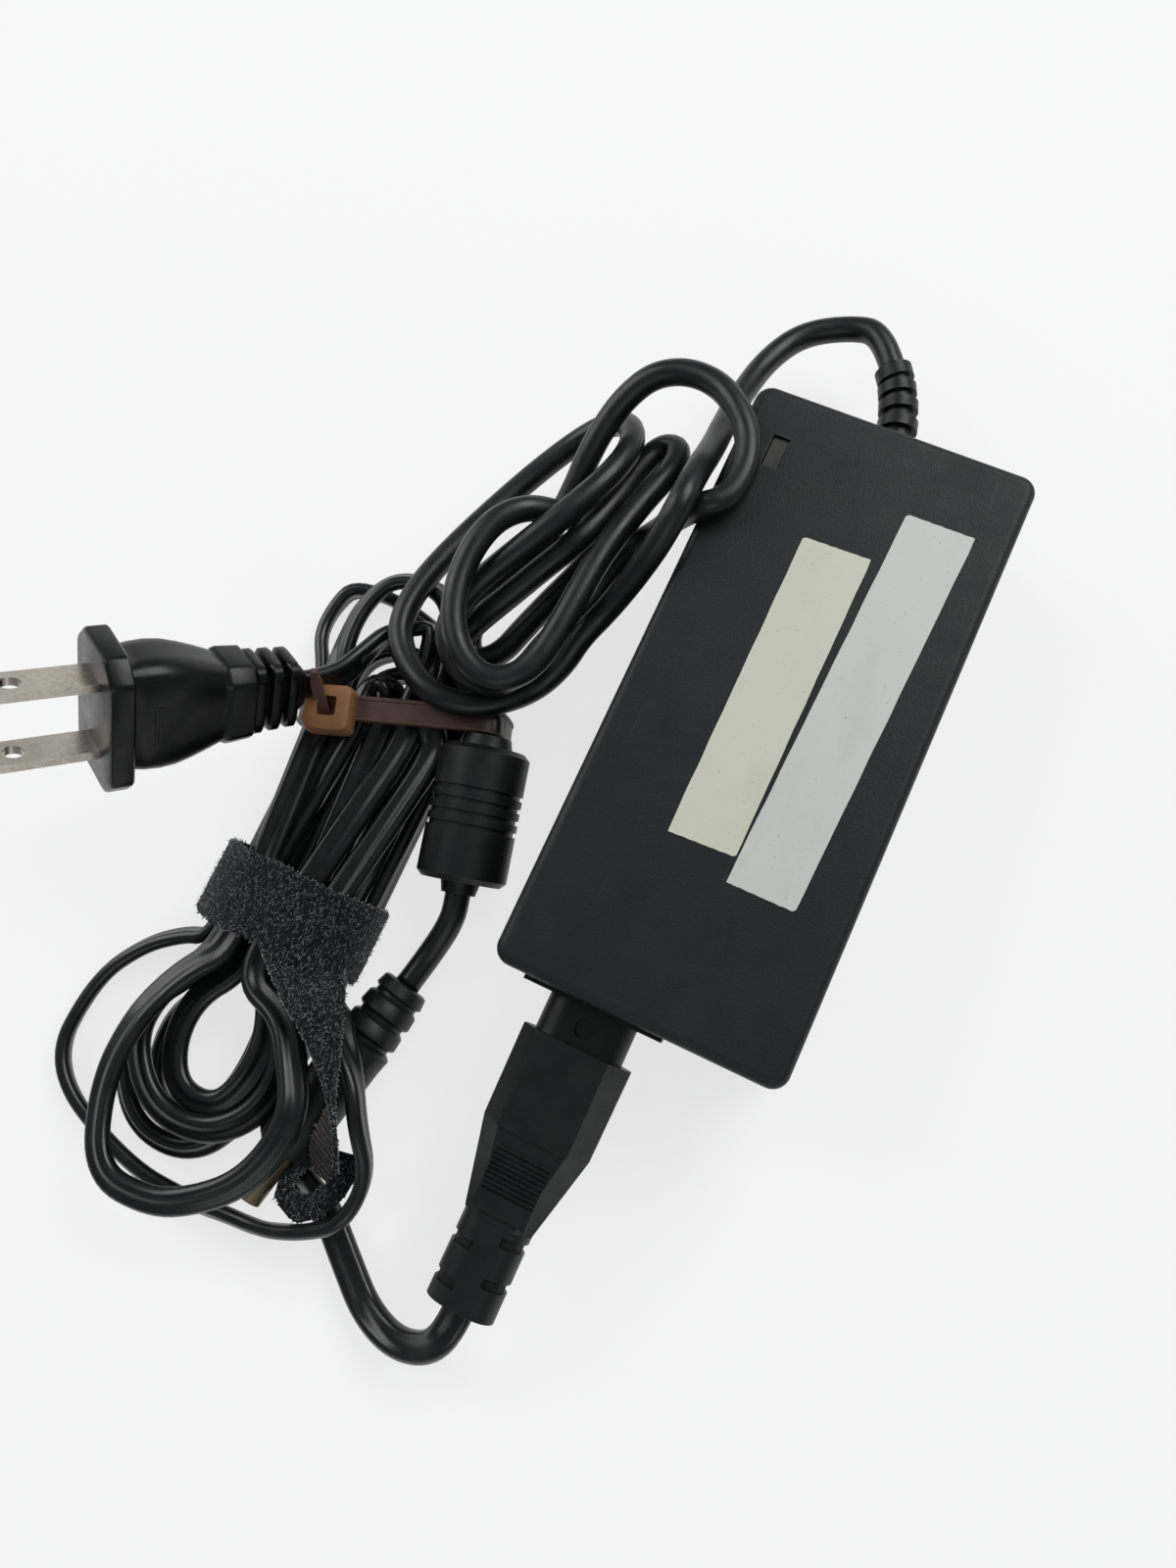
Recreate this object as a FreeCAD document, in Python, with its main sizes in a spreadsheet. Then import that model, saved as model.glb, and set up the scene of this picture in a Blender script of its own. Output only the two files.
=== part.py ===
import FreeCAD, Part
import math
import os
import re
import Sketcher
from FreeCAD import Matrix, Placement, Rotation, Vector

# Laptop power adapter with its two leads put away in hanks.
# Millimetres. +Z is up, +Y is the end with the low-voltage lead,
# and the origin is the middle of the case's base.

os.makedirs("parts", exist_ok=True)
doc = FreeCAD.newDocument("laptop_power_adapter")
sheet = doc.addObject("Spreadsheet::Sheet", "sizes")

SIZES = [
    ("case_length", 109.0, "case along Y"),
    ("case_width", 50.0, "case along X"),
    ("case_height", 30.0, "case along Z"),
    ("case_wall", 2.2, "wall of both covers"),
    ("corner_radius", 3.0, "upright corners of the case"),
    ("top_edge_radius", 1.8, "upper edge of the case"),
    ("base_edge_radius", 1.2, "lower edge of the case"),
    ("seam_height", 15.0, "height of the seam, the inlet and the lead"),
    ("seam_gap", 0.4, "groove that shows between the covers"),
    ("lap_height", 1.4, "tongue of the base above the seam"),
    ("lap_wall", 1.0, "thickness of the tongue"),
    ("fit_gap", 0.15, "clearance of moulded fits"),
    ("rib_height", 2.0, "ribs under the circuit board"),
    ("rib_thick", 1.6, "thickness of those ribs"),
    ("rib_count", 4, "number of those ribs"),
    ("rib_pitch", 26.0, "spacing of those ribs"),
    ("film_thick", 0.5, "insulating film under the board"),
    ("board_thick", 1.6, "circuit board"),
    ("board_side_gap", 0.8, "board to side wall"),
    ("board_end_gap", 2.3, "board to end wall"),
    ("post_size", 3.0, "posts that hold the board down"),
    ("post_gap", 2.9, "front post behind the inlet moulding"),
    ("lamp_side", 7.5, "indicator window from the side of the case"),
    ("lamp_end", 11.8, "indicator window from the end of the case"),
    ("lamp_width", 3.0, "indicator window across"),
    ("lamp_length", 6.0, "indicator window along"),
    ("lamp_sink", 0.6, "window face below the cover"),
    ("lamp_lip", 0.8, "step that stops the light pipe"),
    ("lamp_size", 3.2, "indicator lamp, square"),
    ("lamp_high", 3.0, "indicator lamp above the board"),
    ("part_lift", 2.0, "parts that stand off the board on legs"),
    ("fuse_diameter", 8.0, "fuse across"),
    ("fuse_high", 8.0, "fuse above the board"),
    ("fuse_inset", 3.5, "fuse from the end of the board"),
    ("fuse_side", 8.5, "fuse from the side of the board"),
    ("filter_width", 8.0, "mains filter capacitor across"),
    ("filter_length", 17.0, "mains filter capacitor along"),
    ("filter_high", 14.0, "mains filter capacitor height"),
    ("filter_side", 3.5, "mains filter capacitor from the side of the board"),
    ("filter_gap", 7.5, "end of the board to the mains filter capacitor"),
    ("choke_ring", 5.6, "input choke, radius of its ring"),
    ("choke_wire", 2.9, "input choke, radius of its winding"),
    ("choke_gap", 3.9, "input choke behind the inlet moulding"),
    ("sink_thick", 1.6, "both heatsinks"),
    ("sink_high", 17.0, "both heatsinks above the board"),
    ("sink_side", 2.2, "primary heatsink from the side of the board"),
    ("sink_length", 30.0, "primary heatsink along"),
    ("sink_width", 28.0, "secondary heatsink across"),
    ("sink_back", 2.0, "primary heatsink's middle behind the case's"),
    ("device_thick", 4.6, "power transistor and rectifier"),
    ("device_width", 10.0, "power transistor and rectifier across"),
    ("device_high", 14.0, "power transistor and rectifier height"),
    ("bulk_diameter", 16.0, "bulk capacitor, lying"),
    ("bulk_side", 2.0, "bulk capacitor from the side of the board"),
    ("bulk_front_gap", 3.5, "filter capacitor to the bulk capacitor"),
    ("bulk_back_gap", 5.0, "bulk capacitor to the transformer"),
    ("core_wide", 24.0, "transformer core across"),
    ("core_deep", 20.0, "transformer core along"),
    ("core_high", 17.0, "transformer core height"),
    ("core_limb", 3.5, "transformer core, side limbs"),
    ("core_yoke", 3.0, "transformer core, top and bottom"),
    ("coil_inset", 1.0, "winding inside the core at each end"),
    ("core_gap", 0.6, "transformer to the rectifier"),
    ("out_diameter", 10.0, "output capacitors"),
    ("out_high", 16.0, "output capacitors above the board"),
    ("out_pitch", 12.0, "output capacitors, centre to centre"),
    ("out_side", 6.0, "output capacitors from the side of the board"),
    ("out_end", 1.0, "output capacitors from the end of the board"),
    ("out_gap", 2.2, "secondary heatsink to the output capacitors"),
    ("inlet_x", -7.5, "inlet and its connector, sideways"),
    ("inlet_width", 24.8, "inlet bezel across"),
    ("inlet_high", 12.6, "inlet bezel height"),
    ("inlet_depth", 17.0, "inlet moulding, front to back"),
    ("bezel_depth", 0.9, "bezel in front of the case"),
    ("neck_step", 1.0, "bezel overlap round the opening"),
    ("nose_width", 15.9, "connector nose across"),
    ("nose_high", 8.4, "connector nose height"),
    ("nose_length", 13.0, "connector nose, also the socket depth"),
    ("nose_gap", 0.5, "clearance round the nose"),
    ("stand_off", 6.6, "connector shoulder in front of the bezel"),
    ("pin_diameter", 2.36, "inlet pins"),
    ("pin_spacing", 8.6, "inlet pins, centre to centre"),
    ("pin_length", 9.5, "inlet pins in the socket"),
    ("pin_gap", 0.06, "clearance of a contact round its pin"),
    ("contact_wall", 0.6, "wall of a contact tube"),
    ("contact_length", 11.0, "length of a contact tube"),
    ("grip_width", 19.6, "connector body across"),
    ("grip_high", 12.4, "connector body height"),
    ("grip_length", 16.0, "full-width part of the connector body"),
    ("panel_width", 12.5, "flat panel of the connector body"),
    ("panel_raise", 0.35, "panel above the connector body"),
    ("panel_length", 16.2, "panel from the shoulder"),
    ("thumb_width", 9.6, "ribbed thumb pads on the taper"),
    ("thumb_start", 18.8, "thumb pads from the shoulder"),
    ("thumb_raise", 0.5, "thumb pads above the taper"),
    ("grip_rib_pitch", 0.8, "spacing of the grip ribs"),
    ("grip_rib_deep", 0.45, "grooves between the grip ribs"),
    ("thumb_band", 3.2, "smooth band after the ribs"),
    ("nose_mark", 3.4, "round recess on the nose"),
    ("nose_mark_deep", 0.6, "depth of that recess"),
    ("waist_width", 12.0, "connector body at the waist"),
    ("waist_high", 8.8, "connector body height at the waist"),
    ("waist_length", 14.4, "taper to the waist"),
    ("relief_length", 14.6, "connector strain relief"),
    ("relief_width", 12.0, "connector strain relief across"),
    ("relief_high", 8.4, "connector strain relief height"),
    ("relief_slot", 1.6, "slots of the strain relief"),
    ("twin_width", 5.4, "mains lead across both wires"),
    ("twin_thick", 2.7, "mains lead thickness"),
    ("lead_diameter", 4.3, "low-voltage lead"),
    ("gland_core", 5.4, "core of the case's strain relief"),
    ("gland_neck", 6.2, "neck in the case wall"),
    ("gland_reach", 19.5, "strain relief out of the case wall"),
    ("core_diameter", 16.4, "ferrite moulding"),
    ("core_length", 24.5, "ferrite moulding without its end cones"),
    ("core_cone", 2.2, "end cones of the ferrite moulding"),
    ("ferrite_outer", 13.0, "ferrite cylinder outside"),
    ("ferrite_bore", 6.0, "ferrite cylinder bore"),
    ("ferrite_length", 20.0, "ferrite cylinder length"),
    ("core_groove", 0.5, "depth of the moulding's grooves"),
    ("groove_width", 0.9, "width of those grooves"),
    ("groove_pitch", 2.2, "spacing of those grooves"),
    ("groove_middle", 11.3, "middle of those grooves from the upper end"),
    ("core_collar", 9.6, "upper end of the moulding round the lead"),
    ("core_tail", 7.2, "lower end of the moulding round the lead"),
    ("tip_outer", 5.5, "low-voltage plug sleeve outside"),
    ("tip_wall", 0.45, "wall of the sleeve"),
    ("tip_length", 9.5, "sleeve in front of the moulding"),
    ("tip_root", 6.0, "sleeve inside the moulding"),
    ("tip_step", 0.2, "sleeve's root narrower all round"),
    ("tip_recess", 0.4, "inner contact back from the sleeve's end"),
    ("tip_bore", 2.6, "bore of the inner contact"),
    ("tip_contact_wall", 0.35, "wall of the inner contact"),
    ("plug_body", 10.8, "low-voltage plug moulding"),
    ("plug_length", 35.0, "low-voltage plug moulding"),
    ("blade_width", 6.35, "mains blades across"),
    ("blade_thick", 1.5, "mains blades thickness"),
    ("blade_length", 17.0, "mains blades in front of the face"),
    ("blade_root", 6.0, "mains blades inside the plug"),
    ("blade_spacing", 12.7, "mains blades, centre to centre"),
    ("blade_hole", 3.2, "hole in each blade"),
    ("blade_hole_at", 11.9, "hole from the plug's face"),
    ("face_width", 24.0, "mains plug flange along the blades' row"),
    ("face_high", 16.0, "mains plug flange the other way"),
    ("face_thick", 4.0, "mains plug flange"),
    ("tie_width", 4.8, "cable tie"),
    ("tie_thick", 1.2, "cable tie"),
    ("strap_width", 14.0, "hook-and-loop strap"),
    ("strap_thick", 1.5, "hook-and-loop strap"),
]
values = {}
for row, (name, number, note) in enumerate(SIZES, 1):
    sheet.set("A%d" % row, name)
    sheet.set("B%d" % row, repr(number))
    sheet.set("C%d" % row, note)
    sheet.setAlias("B%d" % row, name)
    values[name] = number
doc.recompute()

NAMES = re.compile(r"\b(" + "|".join(sorted(values, key=len, reverse=True)) + r")\b")


def cells(text):
    """An expression with each size name turned into its cell."""
    return NAMES.sub(r"sizes.\1", str(text))


def number(text):
    """The present value of an expression in size names."""
    return float(sheet.evalExpression(NAMES.sub(r"\1", str(text))))


def bind(item, prop, text):
    item.setExpression(prop, cells(text))


def body(name):
    item = doc.addObject("PartDesign::Body", name)
    item.Label = name
    return item


def sketch(owner, name, role, lift="0"):
    """A sketch on one of the body's origin planes, lifted along its normal."""
    item = owner.newObject("Sketcher::SketchObject", name)
    plane = [p for p in owner.Origin.OriginFeatures if p.Role == role][0]
    item.AttachmentSupport = [(plane, "")]
    item.MapMode = "FlatFace"
    bind(item, "AttachmentOffset.Base.z", lift)
    return item


def at(item, geometry, end, x, y=None):
    """Ties a point of the sketch to one or two expressions."""
    for kind, text in (("DistanceX", x), ("DistanceY", y)):
        if text is None:
            continue
        spot = item.addConstraint(Sketcher.Constraint(kind, -1, 1, geometry, end, number(text)))
        bind(item, "Constraints[%d]" % spot, text)


def outline(item, points):
    """A closed outline of straight lines through points given as expressions."""
    spots = [Vector(number(x), number(y), 0) for x, y in points]
    count = len(spots)
    first = item.GeometryCount
    for i in range(count):
        item.addGeometry(Part.LineSegment(spots[i], spots[(i + 1) % count]), False)
    for i in range(count):
        item.addConstraint(Sketcher.Constraint("Coincident", first + i, 2, first + (i + 1) % count, 1))
        at(item, first + i, 1, *points[i])


def box_outline(item, x, y, width, height):
    outline(item, [("%s - (%s) / 2" % (x, width), "%s - (%s) / 2" % (y, height)),
                   ("%s + (%s) / 2" % (x, width), "%s - (%s) / 2" % (y, height)),
                   ("%s + (%s) / 2" % (x, width), "%s + (%s) / 2" % (y, height)),
                   ("%s - (%s) / 2" % (x, width), "%s + (%s) / 2" % (y, height))])


def circle(item, x, y, diameter):
    first = item.addGeometry(Part.Circle(Vector(number(x), number(y), 0), Vector(0, 0, 1),
                                         number(diameter) / 2), False)
    at(item, first, 3, x, y)
    spot = item.addConstraint(Sketcher.Constraint("Diameter", first, number(diameter)))
    bind(item, "Constraints[%d]" % spot, diameter)


def slot_outline(item, x, y, width, height):
    """A level slot with round ends."""
    half = "(%s) / 2 - (%s) / 2" % (width, height)
    cx, cy, reach, r = number(x), number(y), number(half), number(height) / 2
    top, low = cy + r, cy - r
    left, right = cx - reach, cx + reach
    a = item.addGeometry(Part.LineSegment(Vector(left, low, 0), Vector(right, low, 0)), False)
    b = item.addGeometry(Part.ArcOfCircle(Part.Circle(Vector(right, cy, 0), Vector(0, 0, 1), r),
                                          -math.pi / 2, math.pi / 2), False)
    c = item.addGeometry(Part.LineSegment(Vector(right, top, 0), Vector(left, top, 0)), False)
    d = item.addGeometry(Part.ArcOfCircle(Part.Circle(Vector(left, cy, 0), Vector(0, 0, 1), r),
                                          math.pi / 2, 3 * math.pi / 2), False)
    for one, two in ((a, b), (b, c), (c, d), (d, a)):
        item.addConstraint(Sketcher.Constraint("Coincident", one, 2, two, 1))
    at(item, b, 3, "%s + %s" % (x, half), y)
    at(item, d, 3, "%s - (%s)" % (x, half), y)
    at(item, a, 1, "%s - (%s)" % (x, half), "%s - (%s) / 2" % (y, height))
    at(item, a, 2, "%s + %s" % (x, half), "%s - (%s) / 2" % (y, height))
    at(item, c, 1, "%s + %s" % (x, half))
    at(item, c, 2, "%s - (%s)" % (x, half))


def pad(owner, name, profile, length, back=False):
    item = owner.newObject("PartDesign::Pad", name)
    item.Profile = profile
    item.Reversed = back
    bind(item, "Length", length)
    doc.recompute()
    return item


def pocket(owner, name, profile, length, back=False):
    before = owner.Shape.Volume
    item = owner.newObject("PartDesign::Pocket", name)
    item.Profile = profile
    item.Reversed = back
    bind(item, "Length", length)
    doc.recompute()
    if not item.Shape.Volume < before - 1e-6:
        print("NOTE pocket cuts nothing:", name)
    return item


def edges(item, test):
    """Names of the edges whose middle and ends pass a test."""
    found = []
    for i, edge in enumerate(item.Shape.Edges, 1):
        ends = [v.Point for v in edge.Vertexes]
        if test(edge.CenterOfMass, ends):
            found.append("Edge%d" % i)
    return found


def fillet(owner, name, base, names, radius):
    item = owner.newObject("PartDesign::Fillet", name)
    item.Base = (base, names)
    bind(item, "Radius", radius)
    doc.recompute()
    return item


def loft(owner, name, profiles):
    item = owner.newObject("PartDesign::AdditiveLoft", name)
    item.Profile = profiles[0]
    item.Sections = profiles[1:]
    item.Ruled = True
    doc.recompute()
    return item


def revolve(owner, name, profile, axis):
    item = owner.newObject("PartDesign::Revolution", name)
    item.Profile = profile
    item.ReferenceAxis = (profile, [axis])
    item.Angle = 360
    doc.recompute()
    return item


def row_of(owner, name, feature, plane_role, length, count, back=False):
    """Copies of a feature in a row along the normal of an origin plane's axis."""
    item = owner.newObject("PartDesign::LinearPattern", name)
    item.Originals = [feature]
    axis = [p for p in owner.Origin.OriginFeatures if p.Role == plane_role][0]
    item.Direction = (axis, [""])
    item.Reversed = back
    bind(item, "Length", length)
    bind(item, "Occurrences", count)
    owner.Tip = item
    doc.recompute()
    return item


def near(a, b):
    return abs(a - b) < 1e-4


# Case
half_l = "case_length / 2"
half_w = "case_width / 2"
opening = ("inlet_x", "seam_height", "inlet_width - 2 * neck_step", "inlet_high - 2 * neck_step")
post_x = "case_width / 2 - case_wall - board_side_gap - post_size / 2"
post_y = "case_length / 2 - case_wall - board_end_gap - post_size / 2"
film_low = "case_wall + rib_height"
board_low = "case_wall + rib_height + film_thick"
board_top = "case_wall + rib_height + film_thick + board_thick"
board_x = "case_width / 2 - case_wall - board_side_gap"
board_y = "case_length / 2 - case_wall - board_end_gap"
inlet_back = "case_length / 2 + bezel_depth - inlet_depth"
front_post = "-(%s - post_gap - post_size / 2)" % inlet_back
lamp_x = "(lamp_side - case_width / 2)"
lamp_y = "(case_length / 2 - lamp_end)"

base = body("bottom_cover")
s = sketch(base, "base_outline", "XY_Plane")
box_outline(s, "0", "0", "case_width", "case_length")
block = pad(base, "base_block", s, "seam_height - seam_gap / 2")
corners = edges(block, lambda m, e: len(e) == 2 and near(e[0].x, e[1].x) and near(e[0].y, e[1].y))
block = fillet(base, "base_corners", block, corners, "corner_radius")
low = edges(block, lambda m, e: near(m.z, 0))
block = fillet(base, "base_edge", block, low, "base_edge_radius")
s = sketch(base, "base_room", "XY_Plane", "seam_height - seam_gap / 2")
box_outline(s, "0", "0", "case_width - 2 * case_wall", "case_length - 2 * case_wall")
pocket(base, "base_hollow", s, "seam_height - seam_gap / 2 - case_wall")
s = sketch(base, "tongue_ring", "XY_Plane", "seam_height - seam_gap / 2 - 1")
tongue = "case_wall - lap_wall"
box_outline(s, "0", "0", "case_width - 2 * (%s)" % tongue, "case_length - 2 * (%s)" % tongue)
box_outline(s, "0", "0", "case_width - 2 * case_wall", "case_length - 2 * case_wall")
pad(base, "tongue_pad", s, "lap_height + seam_gap / 2 + 1")
s = sketch(base, "rib_outline", "XY_Plane", "case_wall - 0.5")
box_outline(s, "0", "-(rib_count - 1) * rib_pitch / 2", "case_width - 2 * case_wall - 4", "rib_thick")
rib = pad(base, "rib_pad", s, "rib_height + 0.5")
row_of(base, "rib_row", rib, "Y_Axis", "(rib_count - 1) * rib_pitch", "rib_count")
s = sketch(base, "base_inlet", "XZ_Plane", "case_length / 2 + 1")
box_outline(s, *opening)
pocket(base, "base_inlet_cut", s, "case_wall + 2")
s = sketch(base, "base_lead", "XZ_Plane", "-(case_length / 2 + 1)")
circle(s, "0", "seam_height", "gland_neck + 2 * fit_gap")
pocket(base, "base_lead_cut", s, "case_wall + 2", True)

cover = body("top_cover")
s = sketch(cover, "cover_outline", "XY_Plane", "seam_height + seam_gap / 2")
box_outline(s, "0", "0", "case_width", "case_length")
block = pad(cover, "cover_block", s, "case_height - seam_height - seam_gap / 2")
corners = edges(block, lambda m, e: len(e) == 2 and near(e[0].x, e[1].x) and near(e[0].y, e[1].y))
block = fillet(cover, "cover_corners", block, corners, "corner_radius")
high = edges(block, lambda m, e: near(m.z, values["case_height"]))
block = fillet(cover, "cover_edge", block, high, "top_edge_radius")
s = sketch(cover, "cover_room", "XY_Plane", "seam_height + seam_gap / 2")
box_outline(s, "0", "0", "case_width - 2 * case_wall", "case_length - 2 * case_wall")
pocket(cover, "cover_hollow", s, "case_height - case_wall - seam_height - seam_gap / 2", True)
s = sketch(cover, "rebate_outline", "XY_Plane", "seam_height + seam_gap / 2")
rebate = "case_wall - lap_wall - fit_gap"
box_outline(s, "0", "0", "case_width - 2 * (%s)" % rebate, "case_length - 2 * (%s)" % rebate)
pocket(cover, "rebate_cut", s, "lap_height - seam_gap / 2", True)
s = sketch(cover, "post_outline", "XY_Plane", board_top)
for x, y in ((post_x, post_y), ("-(%s)" % post_x, post_y), (post_x, "-(%s)" % post_y),
             ("-(%s)" % post_x, front_post)):
    box_outline(s, x, y, "post_size", "post_size")
pad(cover, "post_pad", s, "case_height - case_wall + 0.5 - (%s)" % board_top)
s = sketch(cover, "cover_inlet", "XZ_Plane", "case_length / 2 + 1")
box_outline(s, *opening)
pocket(cover, "cover_inlet_cut", s, "case_wall + 2")
s = sketch(cover, "cover_lead", "XZ_Plane", "-(case_length / 2 + 1)")
circle(s, "0", "seam_height", "gland_neck + 2 * fit_gap")
pocket(cover, "cover_lead_cut", s, "case_wall + 2", True)
s = sketch(cover, "lamp_hole", "XY_Plane", "case_height")
box_outline(s, lamp_x, lamp_y, "lamp_width", "lamp_length")
pocket(cover, "lamp_cut", s, "case_wall + 1")

# Light pipe: a lens in the window with a flange under the cover
pipe = body("light_pipe")
s = sketch(pipe, "pipe_lens", "XY_Plane", "case_height - case_wall")
box_outline(s, lamp_x, lamp_y, "lamp_width - 2 * fit_gap", "lamp_length - 2 * fit_gap")
pad(pipe, "pipe_lens_pad", s, "case_wall - lamp_sink")
s = sketch(pipe, "pipe_flange", "XY_Plane", "case_height - case_wall")
box_outline(s, lamp_x, lamp_y, "lamp_width + 2 * lamp_lip", "lamp_length + 2 * lamp_lip")
pad(pipe, "pipe_flange_pad", s, "lamp_lip", True)
s = sketch(pipe, "pipe_stem", "XY_Plane", "case_height - case_wall - lamp_lip")
box_outline(s, lamp_x, lamp_y, "lamp_width - 1", "lamp_width - 1")
pad(pipe, "pipe_stem_pad", s, "case_height - case_wall - lamp_lip - (%s) - lamp_high" % board_top, True)
lamp = body("indicator_lamp")
s = sketch(lamp, "lamp_outline", "XY_Plane", board_top)
box_outline(s, lamp_x, lamp_y, "lamp_size", "lamp_size")
pad(lamp, "lamp_pad", s, "lamp_high")

# Inlet: a moulding with a bezel, a neck held in the case wall and a deep socket
front = "case_length / 2 + bezel_depth"
inlet = body("ac_inlet_housing")
s = sketch(inlet, "bezel_outline", "XZ_Plane", front)
box_outline(s, "inlet_x", "seam_height", "inlet_width", "inlet_high")
block = pad(inlet, "bezel_pad", s, "bezel_depth", True)
s = sketch(inlet, "neck_outline", "XZ_Plane", "case_length / 2")
box_outline(s, "inlet_x", "seam_height", "inlet_width - 2 * neck_step - 2 * fit_gap",
            "inlet_high - 2 * neck_step - 2 * fit_gap")
pad(inlet, "neck_pad", s, "case_wall", True)
s = sketch(inlet, "shell_outline", "XZ_Plane", "case_length / 2 - case_wall")
box_outline(s, "inlet_x", "seam_height", "inlet_width", "inlet_high")
pad(inlet, "shell_pad", s, "inlet_depth - bezel_depth - case_wall", True)
s = sketch(inlet, "socket_outline", "XZ_Plane", front)
slot_outline(s, "inlet_x", "seam_height", "nose_width + 2 * nose_gap", "nose_high + 2 * nose_gap")
pocket(inlet, "socket_cut", s, "nose_length")
s = sketch(inlet, "pin_holes", "XZ_Plane", front)
for side in ("-", "+"):
    circle(s, "inlet_x %s pin_spacing / 2" % side, "seam_height", "pin_diameter")
pocket(inlet, "pin_hole_cut", s, "inlet_depth + 1")

pins = body("ac_inlet_pins")
s = sketch(pins, "pin_outline", "XZ_Plane", front + " - nose_length + pin_length")
for side in ("-", "+"):
    circle(s, "inlet_x %s pin_spacing / 2" % side, "seam_height", "pin_diameter")
block = pad(pins, "pin_pad", s, "pin_length + inlet_depth - nose_length + 2", True)
s = sketch(pins, "pin_legs", "XZ_Plane", front + " - inlet_depth")
for side in ("-", "+"):
    box_outline(s, "inlet_x %s pin_spacing / 2" % side, "(seam_height + 0.5 + %s) / 2" % board_top,
                "1.6", "seam_height + 0.5 - (%s)" % board_top)
pad(pins, "pin_leg_pad", s, "2", True)

# Circuit board, its insulating film and what stands on it
board = body("circuit_board")
s = sketch(board, "board_outline", "XY_Plane", board_low)
box_outline(s, "0", "0", "case_width - 2 * case_wall - 2 * board_side_gap",
            "case_length - 2 * case_wall - 2 * board_end_gap")
pad(board, "board_pad", s, "board_thick")
film = body("insulating_film")
s = sketch(film, "film_outline", "XY_Plane", film_low)
box_outline(s, "0", "0", "case_width - 2 * case_wall - 2 * board_side_gap",
            "case_length - 2 * case_wall - 2 * board_end_gap")
pad(film, "film_pad", s, "film_thick")


def block_part(name, x, y, lift, width, length, height, soft=0):
    """A box-shaped component standing on the board."""
    item = body(name)
    s = sketch(item, name + "_outline", "XY_Plane", lift)
    box_outline(s, x, y, width, length)
    top = pad(item, name + "_pad", s, height)
    if soft:
        fillet(item, name + "_edges", top,
               edges(top, lambda m, e: len(e) == 2 and near(e[0].x, e[1].x) and near(e[0].y, e[1].y)),
               str(soft))
    return item


def can_part(name, spots, lift, diameter, height):
    """Upright cans standing on the board."""
    item = body(name)
    s = sketch(item, name + "_outline", "XY_Plane", lift)
    for x, y in spots:
        circle(s, x, y, diameter)
    pad(item, name + "_pad", s, height)
    return item


block_part("mains_filter_capacitor", "%s - filter_side - filter_width / 2" % board_x,
           "-(%s - filter_gap - filter_length / 2)" % board_y, board_top,
           "filter_width", "filter_length", "filter_high", "filter_width / 10")
can_part("fuse_body", [("%s - fuse_side" % board_x, "-(%s - fuse_inset)" % board_y)], board_top,
         "fuse_diameter", "fuse_high")
choke = doc.addObject("Part::Torus", "input_choke")
choke.Label = "input_choke"
bind(choke, "Radius1", "choke_ring")
bind(choke, "Radius2", "choke_wire")
bind(choke, "Placement.Base.x", "inlet_x - 1.5")
bind(choke, "Placement.Base.y", "-(%s - choke_gap - choke_ring - choke_wire)" % inlet_back)
bind(choke, "Placement.Base.z", "%s + choke_wire" % board_top)
block_part("primary_heatsink", "-(%s - sink_side - sink_thick / 2)" % board_x, "-sink_back", board_top,
           "sink_thick", "sink_length", "sink_high")
block_part("power_transistor", "-(%s - sink_side - sink_thick - device_thick / 2)" % board_x, "-sink_back",
           "%s + part_lift" % board_top, "device_thick", "device_width", "device_high", "device_thick / 12")
core_mid = "(%s - out_end - out_diameter - out_gap - sink_thick - device_thick - core_gap - core_deep / 2)" % board_y
bulk_front = "(%s - filter_gap - filter_length - bulk_front_gap)" % board_y
bulk = doc.addObject("Part::Cylinder", "bulk_capacitor")
bulk.Label = "bulk_capacitor"
bulk.Placement = Placement(Vector(0, 0, 0), Rotation(Vector(1, 0, 0), -90))
bind(bulk, "Radius", "bulk_diameter / 2")
bind(bulk, "Height", "%s + %s - core_deep / 2 - bulk_back_gap" % (bulk_front, core_mid))
bind(bulk, "Placement.Base.x", "%s - bulk_side - bulk_diameter / 2" % board_x)
bind(bulk, "Placement.Base.y", "-%s" % bulk_front)
bind(bulk, "Placement.Base.z", "%s + bulk_diameter / 2" % board_top)
core = body("transformer_core")
s = sketch(core, "core_outline", "XY_Plane", board_top)
box_outline(s, "0", core_mid, "core_wide", "core_deep")
pad(core, "core_pad", s, "core_high")
s = sketch(core, "core_window", "XZ_Plane", "-(%s - core_deep / 2 - 1)" % core_mid)
box_outline(s, "0", "%s + core_high / 2" % board_top, "core_wide - 2 * core_limb", "core_high - 2 * core_yoke")
pocket(core, "core_window_cut", s, "core_deep + 2")
coil = body("transformer_winding")
s = sketch(coil, "coil_outline", "XZ_Plane", "-(%s - core_deep / 2 + coil_inset)" % core_mid)
box_outline(s, "0", "%s + core_high / 2" % board_top, "core_wide - 2 * core_limb", "core_high - 2 * core_yoke")
pad(coil, "coil_pad", s, "core_deep - 2 * coil_inset", True)
block_part("secondary_heatsink", "0", "%s - out_end - out_diameter - out_gap - sink_thick / 2" % board_y,
           board_top, "sink_width", "sink_thick", "sink_high")
block_part("output_rectifier", "0",
           "%s - out_end - out_diameter - out_gap - sink_thick - device_thick / 2" % board_y,
           "%s + part_lift" % board_top, "device_width", "device_thick", "device_high", "device_thick / 12")
out_x = "%s - out_side - out_diameter / 2" % board_x
out_y = "%s - out_end - out_diameter / 2" % board_y
can_part("output_capacitors", [(out_x, out_y), (out_x + " - out_pitch", out_y)], board_top,
         "out_diameter", "out_high")


# Helpers for pieces that lie along a slanted line
def frame_at(origin, forward, side):
    """A placement whose X runs forward and whose Y is the side made square to it."""
    x = Vector(forward).normalize()
    y = Vector(side) - x * Vector(side).dot(x)
    y.normalize()
    z = x.cross(y)
    m = Matrix(x.x, y.x, z.x, origin.x, x.y, y.y, z.y, origin.y, x.z, y.z, z.z, origin.z, 0, 0, 0, 1)
    return Placement(m)


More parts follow.
